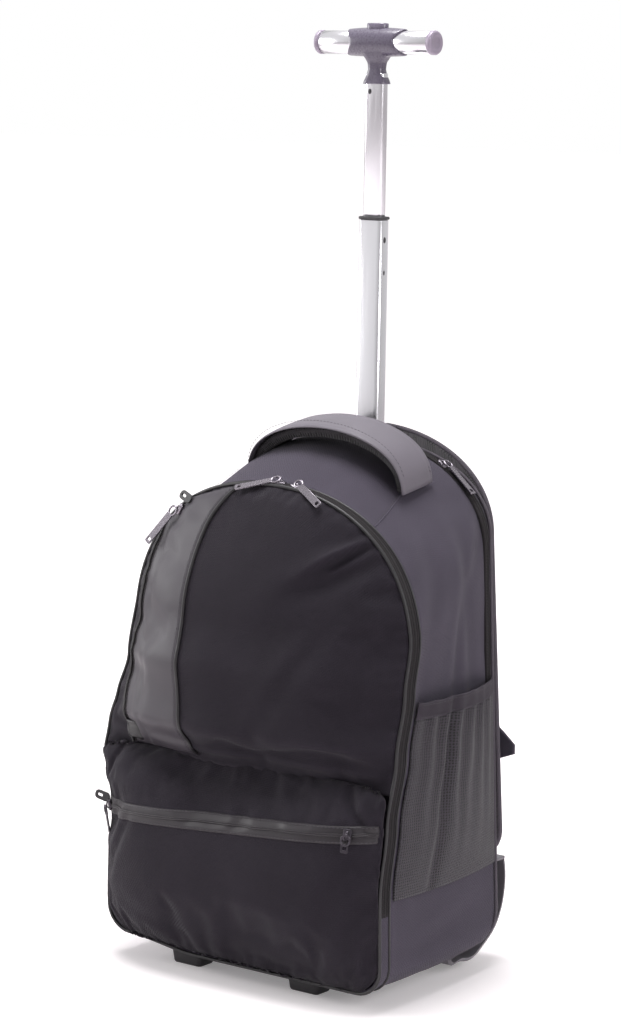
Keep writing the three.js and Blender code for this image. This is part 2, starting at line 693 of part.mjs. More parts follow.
const bandHeights = BAND_LINE.map((row) => row.height * FRONT_TOP);
const bandX = (row, field) => row[field] * FRONT_WIDTH / 2;
const pocketFront = solid(block(-REACH, REACH, -REACH, REACH, POCKET_TOP + GAP * 2, REACH * 2));

function trim(fromField, fromShift, toField, toShift, thickness) {
  const left = BAND_LINE.map((row, i) => [bandX(row, fromField) + fromShift, bandHeights[i]]);
  const right = BAND_LINE.map((row, i) => [bandX(row, toField) + toShift, bandHeights[i]]).reverse();
  const strip = solid(prismY(polygon([...left, ...right]), -REACH, seamY(FRONT_TOP)));
  const layer = panelSolid(GAP + thickness).subtract(panelSolid(GAP));
  return biggest(layer.intersect(strip).intersect(pocketFront));
}

const bandSkin = trim('zip', BAND_ZIP_WIDTH / 2 + GAP, 'inner', -PIPING / 2 - GAP, SKIN);
const piping = trim('inner', -PIPING / 2, 'inner', PIPING / 2, SKIN * 1.6);
const bandZip = trim('zip', -BAND_ZIP_WIDTH / 2, 'zip', BAND_ZIP_WIDTH / 2, SKIN);

// Bottle pockets: a mesh sheet that stands off the side, gathered into an elastic at its top

function sideX(y, z) {
  const front = outline(frontOutline);
  const back = outline(backOutline);
  const start = seamY(z) + FRONT_GUSSET + GAP;
  const share = THREE.MathUtils.clamp((y - start) / (BACK_Y - start), 0, 1);
  const width = (ring) => {
    for (let i = FLOOR_STEPS; i < ring.length / 2; i += 1) {
      if (ring[i + 1][1] >= z) {
        return mix(ring[i][0], ring[i + 1][0], (z - ring[i][1]) / (ring[i + 1][1] - ring[i][1]));
      }
    }
    return 0;
  };
  return mix(width(front), width(back), share) + SIDE_BULGE * Math.sin(Math.PI * share);
}

function bottleGrid(z0, z1, rows, off, pleat) {
  const columns = BOTTLE_PLEATS * 3;
  const grid = [];
  for (let r = 0; r <= rows; r += 1) {
    const z = mix(z0, z1, r / rows);
    const rise = THREE.MathUtils.clamp((z - BOTTLE_BOTTOM) / (BOTTLE_TOP - BOTTLE_BOTTOM), 0, 1);
    const y0 = seamY(z) + FRONT_GUSSET + BOTTLE_FRONT_INSET;
    const y1 = BACK_Y - MAIN_ZIP_INSET - MAIN_ZIP_BAND - BOTTLE_BACK_INSET;
    const row = [];
    for (let c = 0; c <= columns; c += 1) {
      const t = c / columns;
      const y = mix(y0, y1, t);
      const swell = Math.sin(Math.PI * t) ** 0.7 * Math.sin(Math.PI * Math.min(0.62, 0.1 + rise)) ** 0.8;
      const bulge = BOTTLE_BULGE * swell;
      const fold = pleat * Math.cos(2 * Math.PI * BOTTLE_PLEATS * t) * rise * Math.sin(Math.PI * t) ** 0.5;
      row.push(new THREE.Vector3(sideX(y, z) + GAP * 3 + off + bulge + fold, y, z));
    }
    grid.push(row);
  }
  return grid;
}

const meshTop = BOTTLE_TOP - ELASTIC_HEIGHT;
const bottleMesh = sheet(
  bottleGrid(BOTTLE_BOTTOM, meshTop, 4, MESH_CLOTH, PLEAT_DEPTH),
  bottleGrid(BOTTLE_BOTTOM, meshTop, 4, 0, PLEAT_DEPTH),
);
const elastic = sheet(
  bottleGrid(meshTop + GAP, BOTTLE_TOP, 1, ELASTIC, PLEAT_DEPTH * 0.4),
  bottleGrid(meshTop + GAP, BOTTLE_TOP, 1, 0, PLEAT_DEPTH * 0.4),
);
const bagCover = gussetSolid(GAP, GAP);

// Grab handle: a smooth strip over a padded mesh underside

class HandleArch extends THREE.Curve {
  constructor(span, rise) {
    super();
    this.span = span;
    this.rise = rise;
  }

  getPoint(t, target = new THREE.Vector3()) {
    const a = Math.PI * (1 - t);
    return target.set(this.span / 2 * Math.cos(a), 0, this.rise * Math.sin(a) ** 0.8);
  }
}

function arch(radial, width, thickness) {
  const steps = 14;
  const curve = new HandleArch(HANDLE_SPAN, HANDLE_RISE);
  const rings = [];
  for (let i = 0; i <= steps; i += 1) {
    const a = Math.PI * (1 - i / steps);
    const p = curve.getPoint(i / steps);
    const out = new THREE.Vector3(Math.cos(a) * HANDLE_RISE, 0, Math.sin(a) * HANDLE_SPAN / 2).normalize();
    const section = [
      [-0.5, 0.15], [-0.4, 0], [0.4, 0], [0.5, 0.15], [0.5, 0.85], [0.4, 1], [-0.4, 1], [-0.5, 0.85],
    ];
    rings.push(section.map(([u, v]) => p.clone().addScaledVector(out, radial + v * thickness)
      .add(new THREE.Vector3(0, u * width, 0))));
  }
  const g = loft(rings);
  g.rotateX(radians(HANDLE_TILT));
  g.translate(0, HANDLE_Y, HANDLE_FOOT);
  return biggest(solid(g).subtract(bagCover));
}

const handleStrip = arch(0, HANDLE_WIDTH, HANDLE_STRIP);
const handlePad = arch(-HANDLE_PAD - GAP, HANDLE_PAD_WIDTH, HANDLE_PAD);

// Trolley pole

const sleeve = tube(sleeveWidth, sleeveDepth, SLEEVE_WALL, SLEEVE_BOTTOM, SLEEVE_TOP);
const lowerTube = tube(LOWER_WIDTH, LOWER_DEPTH, LOWER_WALL, LOWER_TOP - LOWER_LENGTH, LOWER_TOP);
const collarWall = (LOWER_DEPTH - UPPER_DEPTH) / 2 + COLLAR_LIP - SLIDE_GAP;
const collar = tube(
  UPPER_WIDTH + 2 * (SLIDE_GAP + collarWall), UPPER_DEPTH + 2 * (SLIDE_GAP + collarWall),
  collarWall, LOWER_TOP + GAP, LOWER_TOP + GAP + COLLAR_HEIGHT,
);
const upperTube = tube(UPPER_WIDTH, UPPER_DEPTH, UPPER_WALL, UPPER_TOP - UPPER_LENGTH, UPPER_TOP);

function roundBar(radius, x0, x1, sides, y, z) {
  const g = new THREE.CylinderGeometry(radius, radius, x1 - x0, sides);
  g.rotateZ(Math.PI / 2);
  g.translate((x0 + x1) / 2, y, z);
  return g;
}

function hubShape() {
  const [w, neck, foot] = [HUB_WIDTH / 2, HUB_NECK / 2, UPPER_WIDTH / 2 + HUB_RIM];
  const [top, low] = [GRIP_Z + GRIP_RADIUS + HUB_RIM, GRIP_Z - GRIP_RADIUS - HUB_RIM];
  const { foot: rise, wing, sweep, edge, shoulder } = HUB_FLARE;
  const crown = BUTTON_LENGTH / 2 + HUB_RIM;
  const shape = new THREE.Shape();
  shape.moveTo(-foot, HUB_BOTTOM);
  shape.lineTo(foot, HUB_BOTTOM);
  shape.quadraticCurveTo(neck, HUB_BOTTOM + rise, neck + wing, low - wing);
  shape.quadraticCurveTo(neck + sweep, low, w, low + edge);
  shape.lineTo(w, top - HUB_RIM);
  shape.quadraticCurveTo(w * shoulder, top - edge, crown, top);
  shape.lineTo(-crown, top);
  shape.quadraticCurveTo(-w * shoulder, top - edge, -w, top - HUB_RIM);
  shape.lineTo(-w, low + edge);
  shape.quadraticCurveTo(-neck - sweep, low, -neck - wing, low - wing);
  shape.quadraticCurveTo(-neck, HUB_BOTTOM + rise, -foot, HUB_BOTTOM);
  return shape;
}

const hubDepth = 2 * (GRIP_RADIUS + HUB_RIM);
const buttonBottom = BUTTON_TOP - BUTTON_HEIGHT;
const socketEnd = HUB_WIDTH / 2 - HUB_SOCKET;
const gripHole = roundBar(GRIP_RADIUS + GAP, socketEnd, REACH, ROUND_SIDES, POLE_Y, GRIP_Z);
const buttonShape = roundedShape(BUTTON_LENGTH, BUTTON_DEPTH, BUTTON_DEPTH / 2 - BUTTON_ROUND);
const buttonWell = extrude(roundedShape(BUTTON_LENGTH + 2 * SLIDE_GAP, BUTTON_DEPTH + 2 * SLIDE_GAP,
  BUTTON_DEPTH / 2), REACH, 4);
buttonWell.translate(0, POLE_Y, buttonBottom - BUTTON_TRAVEL);
const tubeSocket = extrude(
  roundedShape(UPPER_WIDTH + 2 * GAP, UPPER_DEPTH + 2 * GAP, UPPER_DEPTH * TUBE_ROUND), REACH);
tubeSocket.translate(0, POLE_Y, UPPER_TOP + GAP - REACH);
const hub = solid(prismY(hubShape(), POLE_Y - hubDepth / 2, POLE_Y + hubDepth / 2, 3))
  .intersect(solid(extrude(roundedShape(HUB_WIDTH + HUB_RIM, hubDepth, HUB_ROUND), REACH, 3)
    .translate(0, POLE_Y, HUB_BOTTOM - GAP))
    .add(solid(roundBar(hubDepth / 2, -HUB_WIDTH, HUB_WIDTH, ROUND_SIDES, POLE_Y, GRIP_Z))))
  .subtract(solid(gripHole)).subtract(solid(mirrored(gripHole)))
  .subtract(solid(buttonWell)).subtract(solid(tubeSocket));
const button = extrude(buttonShape, BUTTON_HEIGHT + BUTTON_ROOT, 4);
button.translate(0, POLE_Y, buttonBottom - BUTTON_ROOT);

const gripStart = socketEnd + GAP;
const gripEnd = GRIP_LENGTH / 2 - CAP_LENGTH - GAP;
const grip = solid(roundBar(GRIP_RADIUS, gripStart, gripEnd, ROUND_SIDES, POLE_Y, GRIP_Z))
  .subtract(solid(roundBar(GRIP_RADIUS - GRIP_WALL, 0, GRIP_LENGTH, ROUND_SIDES, POLE_Y, GRIP_Z)));

function gripCap() {
  const [r, plug] = [GRIP_RADIUS, GRIP_RADIUS - GRIP_WALL - GAP];
  const { plugLength, lip, chamfer } = CAP;
  const profile = [
    [0, -plugLength], [plug, -plugLength], [plug, 0], [r, 0], [r + lip, chamfer],
    [r + lip, CAP_LENGTH - chamfer * 1.5], [r - chamfer, CAP_LENGTH], [0, CAP_LENGTH],
  ];
  const g = new THREE.LatheGeometry(profile.map(([x, y]) => new THREE.Vector2(x, y)), ROUND_SIDES);
  g.rotateZ(-Math.PI / 2);
  g.translate(GRIP_LENGTH / 2 - CAP_LENGTH, POLE_Y, GRIP_Z);
  return g;
}

// Wheel, axle and corner guard of the right side

function wheel() {
  const [r, w, bore] = [WHEEL_RADIUS, WHEEL_WIDTH / 2, AXLE_RADIUS + WHEEL_PLAY];
  const [dish, side] = [w - WHEEL_DISH, w - TYRE_STEP];
  const profile = [
    [bore, -w], [r * 0.3, -w], [r * 0.34, -dish], [r * 0.64, -dish], [r * 0.68, -side],
    [r - TYRE_ROUND, -side], [r, -w * 0.3], [r, w * 0.3], [r - TYRE_ROUND, side],
    [r * 0.68, side], [r * 0.64, dish], [r * 0.34, dish], [r * 0.3, w], [bore, w], [bore, -w],
  ];
  const g = new THREE.LatheGeometry(profile.map(([x, y]) => new THREE.Vector2(x, y)), 20);
  g.rotateZ(Math.PI / 2);
  g.translate(WHEEL_X, WHEEL_Y, WHEEL_RADIUS);
  return g;
}

const wheelSide = WHEEL_WIDTH / 2 + WHEEL_ROOM;

// Side view of the guard, or of its hollow when the wall is taken off
function guardPoints(wall) {
  const depth = GUARD_BACK - WELL_FRONT;
  const line = GUARD_LINE.map((row) => [WELL_FRONT + row.back * depth, row.height * WELL_TOP, row.wall]);
  const top = [
    [GUARD_BACK - depth * 0.1, WELL_TOP, 1], [WELL_FRONT + depth * 0.15, WELL_TOP, 1],
    [WELL_FRONT, WELL_TOP * 0.84, 1],
  ];
  const centre = [WHEEL_Y, WELL_TOP / 2];
  return [...line, ...top].map(([y, z, share]) => {
    const inset = wall * share / Math.hypot(y - centre[0], z - centre[1]);
    return [y + (centre[0] - y) * inset, z + (centre[1] - z) * inset];
  });
}

function cornerGuard() {
  const inside = WHEEL_X - wheelSide;
  const forkX = WHEEL_X + wheelSide;
  const outer = solid(prismX(polygon(guardPoints(0)), WELL_INNER, GUARD_OUTER));
  const hollow = solid(prismX(polygon(guardPoints(GUARD_WALL)), inside, REACH));
  const fork = solid(prismX(polygon([
    [WHEEL_Y - FORK.low, WHEEL_RADIUS - FORK.below], [WHEEL_Y + FORK.low, WHEEL_RADIUS - FORK.below],
    [WHEEL_Y + FORK.high, WELL_TOP - 1], [WHEEL_Y - FORK.high, WELL_TOP - 1],
  ]), forkX, forkX + GUARD_WALL));
  const slotHalf = WHEEL_RADIUS + SLOT_ROOM;
  const slotTop = WHEEL_RADIUS * 1.2;
  const slot = solid(block(inside, forkX, WHEEL_Y - slotHalf, WHEEL_Y + slotHalf, -REACH, slotTop));
  const hole = solid(roundBar(AXLE_RADIUS + GAP, 0, GUARD_OUTER, AXLE_SIDES, WHEEL_Y, WHEEL_RADIUS));
  return biggest(outer.subtract(hollow).add(fork).subtract(slot).subtract(hole));
}

const guard = cornerGuard();

const axleEnd = WHEEL_X + wheelSide + GUARD_WALL;
const axle = roundBar(AXLE_RADIUS, WELL_INNER, axleEnd, AXLE_SIDES, WHEEL_Y, WHEEL_RADIUS);

function foot() {
  const [w, d, h] = [FOOT_LENGTH / 2, FOOT_DEPTH / 2, BAG_BOTTOM - GAP];
  const ring = (grow, z) => [[-w, -d], [w, -d], [w, d], [-w, d]].map(([x, y]) => (
    new THREE.Vector3(FOOT_X + x + Math.sign(x) * grow, FOOT_Y + y + Math.sign(y) * grow, z)));
  return loft([ring(-FOOT_DRAFT, 0), ring(0, FOOT_DRAFT), ring(0, h)]);
}

// Back panel with its pole channel

function backPanel() {
  const ring = (y, grow) => outline(panelOutline, grow).map(([x, z]) => new THREE.Vector3(x, y, z));
  const front = BACK_Y + GAP;
  const back = front + PANEL_THICKNESS;
  const slab = solid(loft([ring(front, 0), ring(front + PANEL_EDGE, 0),
    ring(back - PANEL_EASE.depth, -PANEL_EASE.shoulder), ring(back, -PANEL_EASE.face)]));
  const pole = solid(block(-channelHalf, channelHalf, -REACH, panelChannel, -REACH, REACH * 2));
  const flap = solid(block(-REACH, REACH, -REACH, panelChannel, BACK_TOP - PANEL_EDGE, REACH * 2));
  return slab.subtract(pole).subtract(flap);
}

// Shoulder strap, webbing, ladder lock and anchor tab of the right side

const strapY = BACK_Y + 2 * GAP + PANEL_THICKNESS;

function strap() {
  const steps = 8;
  const line = (side) => {
    const points = [];
    for (let i = 0; i <= steps; i += 1) {
      const t = i / steps;
      const x = STRAP_X + STRAP_SWING * (1 - Math.cos(Math.PI * t)) / 2;
      points.push([x + side * STRAP_WIDTH / 2 * mix(1, STRAP_TAPER, t), mix(STRAP_TOP, STRAP_END, t)]);
    }
    return points;
  };
  const shape = (inset) => [...line(1 - inset), ...line(-1 + inset).reverse()];
  const ring = (y, inset) => shape(inset).map(([x, z]) => new THREE.Vector3(x, y, z));
  const back = strapY + STRAP_THICKNESS;
  return loft([
    ring(strapY, 0.05), ring(strapY + STRAP_ROUND, 0), ring(back - STRAP_ROUND, 0), ring(back, 0.12),
  ]);
}

const webX = STRAP_X + STRAP_SWING;
const tabX = BACK_BASE_WIDTH / 2 - TAB_INSET;
const webTop = STRAP_END - GAP;
const webLow = TAB_Z - TAB_HEIGHT * 0.3;

function ladderLock() {
  const frame = roundedShape(WEBBING + 2 * LOCK.rim, LOCK.height, LOCK.rim - LOCK.play);
  [-1, 1].forEach((side) => {
    const slot = roundedShape(WEBBING + 2 * LOCK.play, LOCK.slot, LOCK.play).getPoints(1);
    frame.holes.push(new THREE.Path(slot.map((p) => new THREE.Vector2(p.x, p.y + side * LOCK.spacing))));
  });
  const g = prismY(frame, strapY, strapY + LOCK.thickness, 2);
  g.translate(webX, 0, webTop - GAP - LOCK.height / 2);
  return g;
}

function webbing() {
  const low = webTop - LOCK.height - 2 * GAP;
  const half = WEBBING / 2;
  const root = tabX - TAB_ROOT;
  const shape = polygon([[webX - half, low], [webX - half, low - WEBBING_DROP], [root, webLow - half],
    [root, webLow + half], [webX + half, low]]);
  return prismY(shape, strapY, strapY + WEBBING_THICKNESS);
}

function anchorTab() {
  const [root, edge, half] = [tabX - TAB_ROOT + GAP, tabX + TAB_OUT, TAB_HEIGHT / 2];
  const shape = polygon([[root, TAB_Z - half - TAB_FOLD / 2], [edge, TAB_Z - half],
    [edge, TAB_Z + half - TAB_FOLD], [edge - TAB_FOLD, TAB_Z + half], [root, TAB_Z + TAB_OUT]]);
  return prismY(shape, strapY, strapY + TAB_THICKNESS);
}

// Zip sliders, pullers and finger loops. Each is made flat at the origin, pulling along +X

function sliderShape() {
  const [l, w, h] = [SLIDER.length, SLIDER.width, SLIDER.height];
  const body = extrude(roundedShape(l, w, SLIDER.round), h * 0.6 + SLIDER.seat, 2);
  body.translate(0, 0, -SLIDER.seat);
  const bridge = SLIDER.bridge / 2;
  return solid(body).add(solid(block(-l * 0.3, l * 0.3, -bridge, bridge, h * 0.5, h)));
}

function pullerShape(length, width) {
  const plateLength = length - 2 * RING.radius;
  const plate = roundedShape(plateLength, width, PULLER.round);
  const hole = roundedShape(PULLER.slot, width - 2 * PULLER.rim, PULLER.round / 2).getPoints(1);
  const end = plateLength / 2 - PULLER.end;
  plate.holes.push(new THREE.Path(hole.map((p) => new THREE.Vector2(p.x + end, p.y))));
  const start = RING.radius * 2 + plateLength / 2 - RING.wire;
  const g = extrude(plate, PULLER.thickness, 1).translate(start, 0, 0);
  const ring = new THREE.TorusGeometry(RING.radius, RING.wire, 4, 9);
  ring.translate(RING.radius, 0, PULLER.thickness / 2);
  return solid(g).add(solid(ring));
}

// A folded fabric tab: a leaf with an eye through it
function loopShape() {
  const leaf = roundedShape(LOOP.length, LOOP.width, LOOP.width * 0.45);
  const eye = roundedShape(LOOP.length * 0.35, LOOP.width * 0.3, LOOP.width * 0.14).getPoints(2);
  leaf.holes.push(new THREE.Path(eye.map((p) => new THREE.Vector2(p.x + LOOP.length * 0.15, p.y))));
  return solid(extrude(leaf, LOOP.thickness, 3).translate(LOOP.length / 2, 0, 0));
}

// Puts a flat piece on the bag: at a point, facing out along a normal, pulling along a direction
function placed(manifold, at, normal, pull, lift = 0) {
  const n = normal.clone().normalize();
  const x = pull.clone().addScaledVector(n, -pull.dot(n)).normalize();
  const y = new THREE.Vector3().crossVectors(n, x);
  const matrix = new THREE.Matrix4().makeBasis(x, y, n).setPosition(at.clone().addScaledVector(n, lift));
  return solid(shapeOf(manifold).applyMatrix4(matrix));
}

function onSurface(surface, x, z) {
  const d = 4;
  const point = new THREE.Vector3(x, surface(x, z), z);
  const slopeX = (surface(x + d, z) - surface(x - d, z)) / (2 * d);
  const slopeZ = (surface(x, z + d) - surface(x, z - d)) / (2 * d);
  return { point, normal: new THREE.Vector3(slopeX, -1, slopeZ).normalize() };
}

// The place on a hoop over the bag's arch at a given X
function onArch(x, ring, depth) {
  const points = ring(depth, 0);
  const i = points.findIndex((p, k) => (
    k > 0 && p.z > FRONT_SHOULDER && (p.x - x) * (points[k - 1].x - x) <= 0));
  const [before, after] = [points[i - 1], points[i]];
  const point = before.clone().lerp(after, (x - before.x) / (after.x - before.x));
  return { point, normal: new THREE.Vector3(after.z - before.z, 0, before.x - after.x).normalize() };
}

// Where each pull sits: the surface point, the way it hangs, and what lies under it
const pocketCover = pocketSolid(GAP).add(panelCover);
const tapeCover = pocketSolid(GAP * 2 + SKIN);
const trimCover = panelSolid(GAP * 2 + SKIN);
const zipCover = hoop(frontRing, { y: -GAP, grow: -CLOTH }, { y: ZIP_BAND + GAP, grow: 0.4 + GAP });
const mainZipCover = hoop(
  mainZipRing, { y: -GAP, grow: -CLOTH }, { y: MAIN_ZIP_BAND + GAP, grow: 0.4 + GAP });

const pulls = [
  { name: 'front_zip_left', place: onArch(10, frontRing, ZIP_BAND / 2), pull: [-1, -0.2, -0.22],
    rest: [0, -0.35, 1], cover: [zipCover, panelCover, bagCover] },
  { name: 'front_zip_right', place: onArch(28, frontRing, ZIP_BAND / 2), pull: [1, -0.41, -0.44],
    rest: [-0.02, -0.75, 0.65], cover: [zipCover, panelCover, bagCover] },
  { name: 'main_zip', place: onArch(90, mainZipRing, MAIN_ZIP_BAND / 2), pull: [1, -0.1, -0.75],
    rest: null, cover: [mainZipCover, bagCover] },
  { name: 'band_zip', place: onSurface(panelY, -0.6 * FRONT_WIDTH / 2, 0.93 * FRONT_TOP),
    pull: [-0.75, 0, -1], rest: [-0.25, -1, 0.2], cover: [trimCover] },
  { name: 'pocket_zip_right', place: onSurface(pocketY, FRONT_WIDTH * 0.42, POCKET_ZIP_RIGHT - 2),
    pull: [-0.1, 0, -1], rest: null, cover: [tapeCover], small: true },
  { name: 'pocket_zip_left', place: onSurface(pocketY, -FRONT_WIDTH * 0.47, POCKET_ZIP_LEFT),
    pull: [0, 0, -1], rest: null, cover: [tapeCover], small: true },
];

// Assembly

const bag = new THREE.Group();

function add(name, geometry, look) {
  const mesh = new THREE.Mesh(geometry, new THREE.MeshStandardMaterial(materials[look]));
  mesh.name = name;
  mesh.geometry.computeVertexNormals();
  bag.add(mesh);
}

function addPair(name, geometry, look) {
  add(`${name}_right`, closed(geometry), look);
  add(`${name}_left`, mirrored(geometry), look);
}

add('main_compartment', shapeOf(mainCompartment), 'gusset');
add('main_zip', shapeOf(mainZip), 'tape');
add('front_compartment', shapeOf(frontCompartment), 'cloth');
add('front_zip', shapeOf(frontZip), 'tape');
add('front_pocket', shapeOf(frontPocket), 'cloth');
add('pocket_zip_tape', shapeOf(pocketTape), 'reflective');
add('front_band', shapeOf(bandSkin), 'band');
add('band_piping', shapeOf(piping), 'tape');
add('band_zip', shapeOf(bandZip), 'tape');
addPair('bottle_pocket', shapeOf(solid(bottleMesh).subtract(bagCover)), 'mesh');
addPair('bottle_elastic', shapeOf(solid(elastic).subtract(bagCover)), 'tape');
add('handle_strip', shapeOf(handleStrip), 'leatherette');
add('handle_pad', shapeOf(handlePad), 'mesh');
add('pole_sleeve', sleeve, 'aluminium');
add('pole_lower', lowerTube, 'aluminium');
add('pole_collar', collar, 'plastic');
add('pole_upper', upperTube, 'aluminium');
add('handle_hub', shapeOf(hub), 'hub');
add('handle_button', button, 'hub');
addPair('handle_grip', shapeOf(grip), 'aluminium');
addPair('grip_cap', gripCap(), 'guard');
addPair('wheel', wheel(), 'rubber');
addPair('axle', axle, 'gunmetal');
addPair('corner_guard', shapeOf(guard), 'guard');
addPair('foot', foot(), 'plastic');
add('back_panel', shapeOf(backPanel()), 'mesh');
addPair('shoulder_strap', strap(), 'mesh');
addPair('strap_lock', ladderLock(), 'plastic');
addPair('strap_webbing', webbing(), 'tape');
addPair('strap_anchor', anchorTab(), 'tape');

pulls.forEach(({ name, place, pull, rest, cover, small }) => {
  const way = new THREE.Vector3(...pull);
  const under = cover.reduce((all, one) => all.add(one));
  const slider = placed(sliderShape(), place.point, place.normal, way, 1).subtract(under);
  const out = rest ? new THREE.Vector3(...rest) : place.normal;
  const length = small ? SMALL_PULLER.length : PULLER.length;
  const width = small ? SMALL_PULLER.width : PULLER.width;
  const from = place.point.clone().addScaledVector(place.normal, SLIDER.height + 1 + RING.wire);
  const puller = placed(pullerShape(length, width), from, out, way).subtract(under);
  add(`slider_${name}`, shapeOf(biggest(slider)), 'gunmetal');
  add(`puller_${name}`, shapeOf(biggest(puller.subtract(slider))), 'gunmetal');
});

// The folded cloth ends of the two shorter zips
const loops = [
  { name: 'band_zip', place: onSurface(panelY, -0.52 * FRONT_WIDTH / 2, 0.95 * FRONT_TOP),
    pull: [-1, 0.1, 0.4], rest: [-0.1, -0.9, 0.4], lift: 1.8, cover: [trimCover, panelCover] },
  { name: 'pocket_zip', place: onSurface(pocketY, -0.985 * FRONT_WIDTH / 2, POCKET_ZIP_LEFT + 4),
    pull: [-1, 0, 0.35], rest: [0.1, -1, 0.1], lift: 1.9, cover: [tapeCover, pocketCover] },
];
loops.forEach(({ name, place, pull, rest, lift, cover }) => {
  const under = cover.reduce((all, one) => all.add(one));
  const leaf = placed(loopShape(), place.point, new THREE.Vector3(...rest), new THREE.Vector3(...pull), lift);
  add(`loop_${name}`, shapeOf(biggest(leaf.subtract(under))), 'tape');
});

// The origin lies under the middle of the whole backpack
const reach = new THREE.Box3().setFromObject(bag);
const middle = reach.getCenter(new THREE.Vector3());
bag.children.forEach((mesh) => mesh.geometry.translate(-middle.x, -middle.y, -reach.min.z));

export default bag;
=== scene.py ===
import math

import bmesh
import bpy
from mathutils import Matrix, Quaternion, Vector, noise
from mathutils.bvhtree import BVHTree


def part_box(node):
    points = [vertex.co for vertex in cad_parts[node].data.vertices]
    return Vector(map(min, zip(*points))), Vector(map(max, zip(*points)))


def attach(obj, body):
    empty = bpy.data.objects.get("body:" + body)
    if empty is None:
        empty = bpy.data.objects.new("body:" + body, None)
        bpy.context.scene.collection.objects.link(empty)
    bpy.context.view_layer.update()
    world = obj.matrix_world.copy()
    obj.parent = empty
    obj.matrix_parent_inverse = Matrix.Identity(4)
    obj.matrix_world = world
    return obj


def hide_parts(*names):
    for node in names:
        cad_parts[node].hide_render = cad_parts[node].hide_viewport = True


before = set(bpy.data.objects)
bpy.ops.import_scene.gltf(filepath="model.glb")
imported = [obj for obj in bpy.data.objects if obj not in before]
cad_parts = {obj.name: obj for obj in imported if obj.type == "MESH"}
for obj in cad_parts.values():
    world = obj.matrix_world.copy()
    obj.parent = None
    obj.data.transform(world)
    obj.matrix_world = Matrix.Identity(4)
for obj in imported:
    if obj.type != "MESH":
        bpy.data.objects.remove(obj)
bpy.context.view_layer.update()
scene = bpy.context.scene


# Camera
# The photograph looks a little down on the front and the right side from almost three metres,
# through a long lens that is tipped by one degree. Sizes are in millimetres from the foot of the pole.

MM = 0.001
POLE_Y = 96
sleeve_low, sleeve_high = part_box("pole_sleeve")
origin = (sleeve_low + sleeve_high) / 2 - Vector((0, POLE_Y * MM, 0))
origin.z = 0


def at(x, y, z):
    return origin + Vector((x, y, z)) * MM


CAMERA_PLACE = (1717.7, -2276.1, 834.6)
CAMERA_AIM = (2.6, 0, 432.7)
CAMERA_TIP = 1.0
CAMERA_LENS = 107.66

camera = bpy.data.objects.new("camera", bpy.data.cameras.new("camera"))
camera.data.lens = CAMERA_LENS
camera.data.sensor_width = 36
camera.location = at(*CAMERA_PLACE)
look = (at(*CAMERA_AIM) - camera.location).to_track_quat("-Z", "Y")
camera.rotation_euler = (look @ Quaternion((0, 0, 1), math.radians(CAMERA_TIP))).to_euler()
scene.collection.objects.link(camera)
scene.camera = camera


# Studio
# A white sweep of paper with large soft lights from the left, from above and from the right. The
# room is dimmer on the right, so the front of the bag grows darker from its left side across.


def linear(colour):
    """An sRGB colour written in hexadecimal, as the linear colour that a shader wants."""
    parts = [int(colour[i : i + 2], 16) / 255 for i in (1, 3, 5)]
    return [p / 12.92 if p <= 0.04045 else ((p + 0.055) / 1.055) ** 2.4 for p in parts] + [1]


def node(tree, kind, links, **settings):
    """Adds a node. links gives its inputs by name or number, as another node's output or a value."""
    made = tree.nodes.new("ShaderNode" + kind)
    for name, value in settings.items():
        setattr(made, name, value)
    for name, value in links.items():
        if isinstance(value, bpy.types.NodeSocket):
            tree.links.new(value, made.inputs[name])
        else:
            made.inputs[name].default_value = value
    return made


PAPER_WHITE = "#ffffff"
ROOM_LIGHT = 0.46
DIM_LIGHT = 0.08
METAL_LIGHT = 0.36
DIM_WAY = (0.9, -0.3, -0.2)
scene.view_settings.view_transform = "Standard"
scene.world = bpy.data.worlds.new("studio")
scene.world.use_nodes = True
sky = scene.world.node_tree
sky.nodes.clear()
way = node(sky, "TexCoord", {})
facing = node(sky, "VectorMath", {0: way.outputs["Generated"], 1: DIM_WAY}, operation="DOT_PRODUCT")
dim = node(sky, "MapRange", {0: facing.outputs["Value"], 1: -0.35, 2: 0.8, 3: ROOM_LIGHT, 4: DIM_LIGHT})
seen = node(sky, "LightPath", {})
shine = node(sky, "Math", {0: seen.outputs["Is Glossy Ray"], 1: METAL_LIGHT, 2: dim.outputs[0]},
             operation="MULTIPLY_ADD")
level = node(sky, "Mix", {0: seen.outputs["Is Camera Ray"], 2: shine.outputs[0], 3: 1.0})
paper = node(sky, "Background", {"Color": linear(PAPER_WHITE), "Strength": level.outputs[0]})
node(sky, "OutputWorld", {"Surface": paper.outputs[0]})

LIGHTS = [
    # name, place, aim, size, power
    ("side_light", (2600, -300, 1500), (100, 0, 300), 1600, 34),
    ("left_light", (-2300, -900, 1000), (-100, 0, 300), 1400, 32),
    ("top_light", (-200, 0, 2700), (0, 0, 300), 1500, 78),
]
for name, place, aim, size, power in LIGHTS:
    lamp = bpy.data.lights.new(name, "AREA")
    lamp.shape = "DISK"
    lamp.size = size * MM
    lamp.energy = power
    light = bpy.data.objects.new(name, lamp)
    light.location = at(*place)
    light.rotation_euler = (at(*aim) - light.location).to_track_quat("-Z", "Y").to_euler()
    scene.collection.objects.link(light)


# Floor
# Smooth, slightly warm white paper with painted light: to the camera it glows strongly far out and
# less near the bag, a painted shadow round it; to other rays it glows faintly and lights the bag from
# below.


def surface(name, colour, roughness, metallic=0.0, **sockets):
    """A material with one shader, whose other sockets are named with _ for a space."""
    made = bpy.data.materials.new(name)
    made.use_nodes = True
    tree = made.node_tree
    shader = tree.nodes["Principled BSDF"]
    shader.inputs["Base Color"].default_value = linear(colour)
    shader.inputs["Roughness"].default_value = roughness
    shader.inputs["Metallic"].default_value = metallic
    for key, value in sockets.items():
        shader.inputs[key.replace("_", " ")].default_value = value
    return made, tree, shader


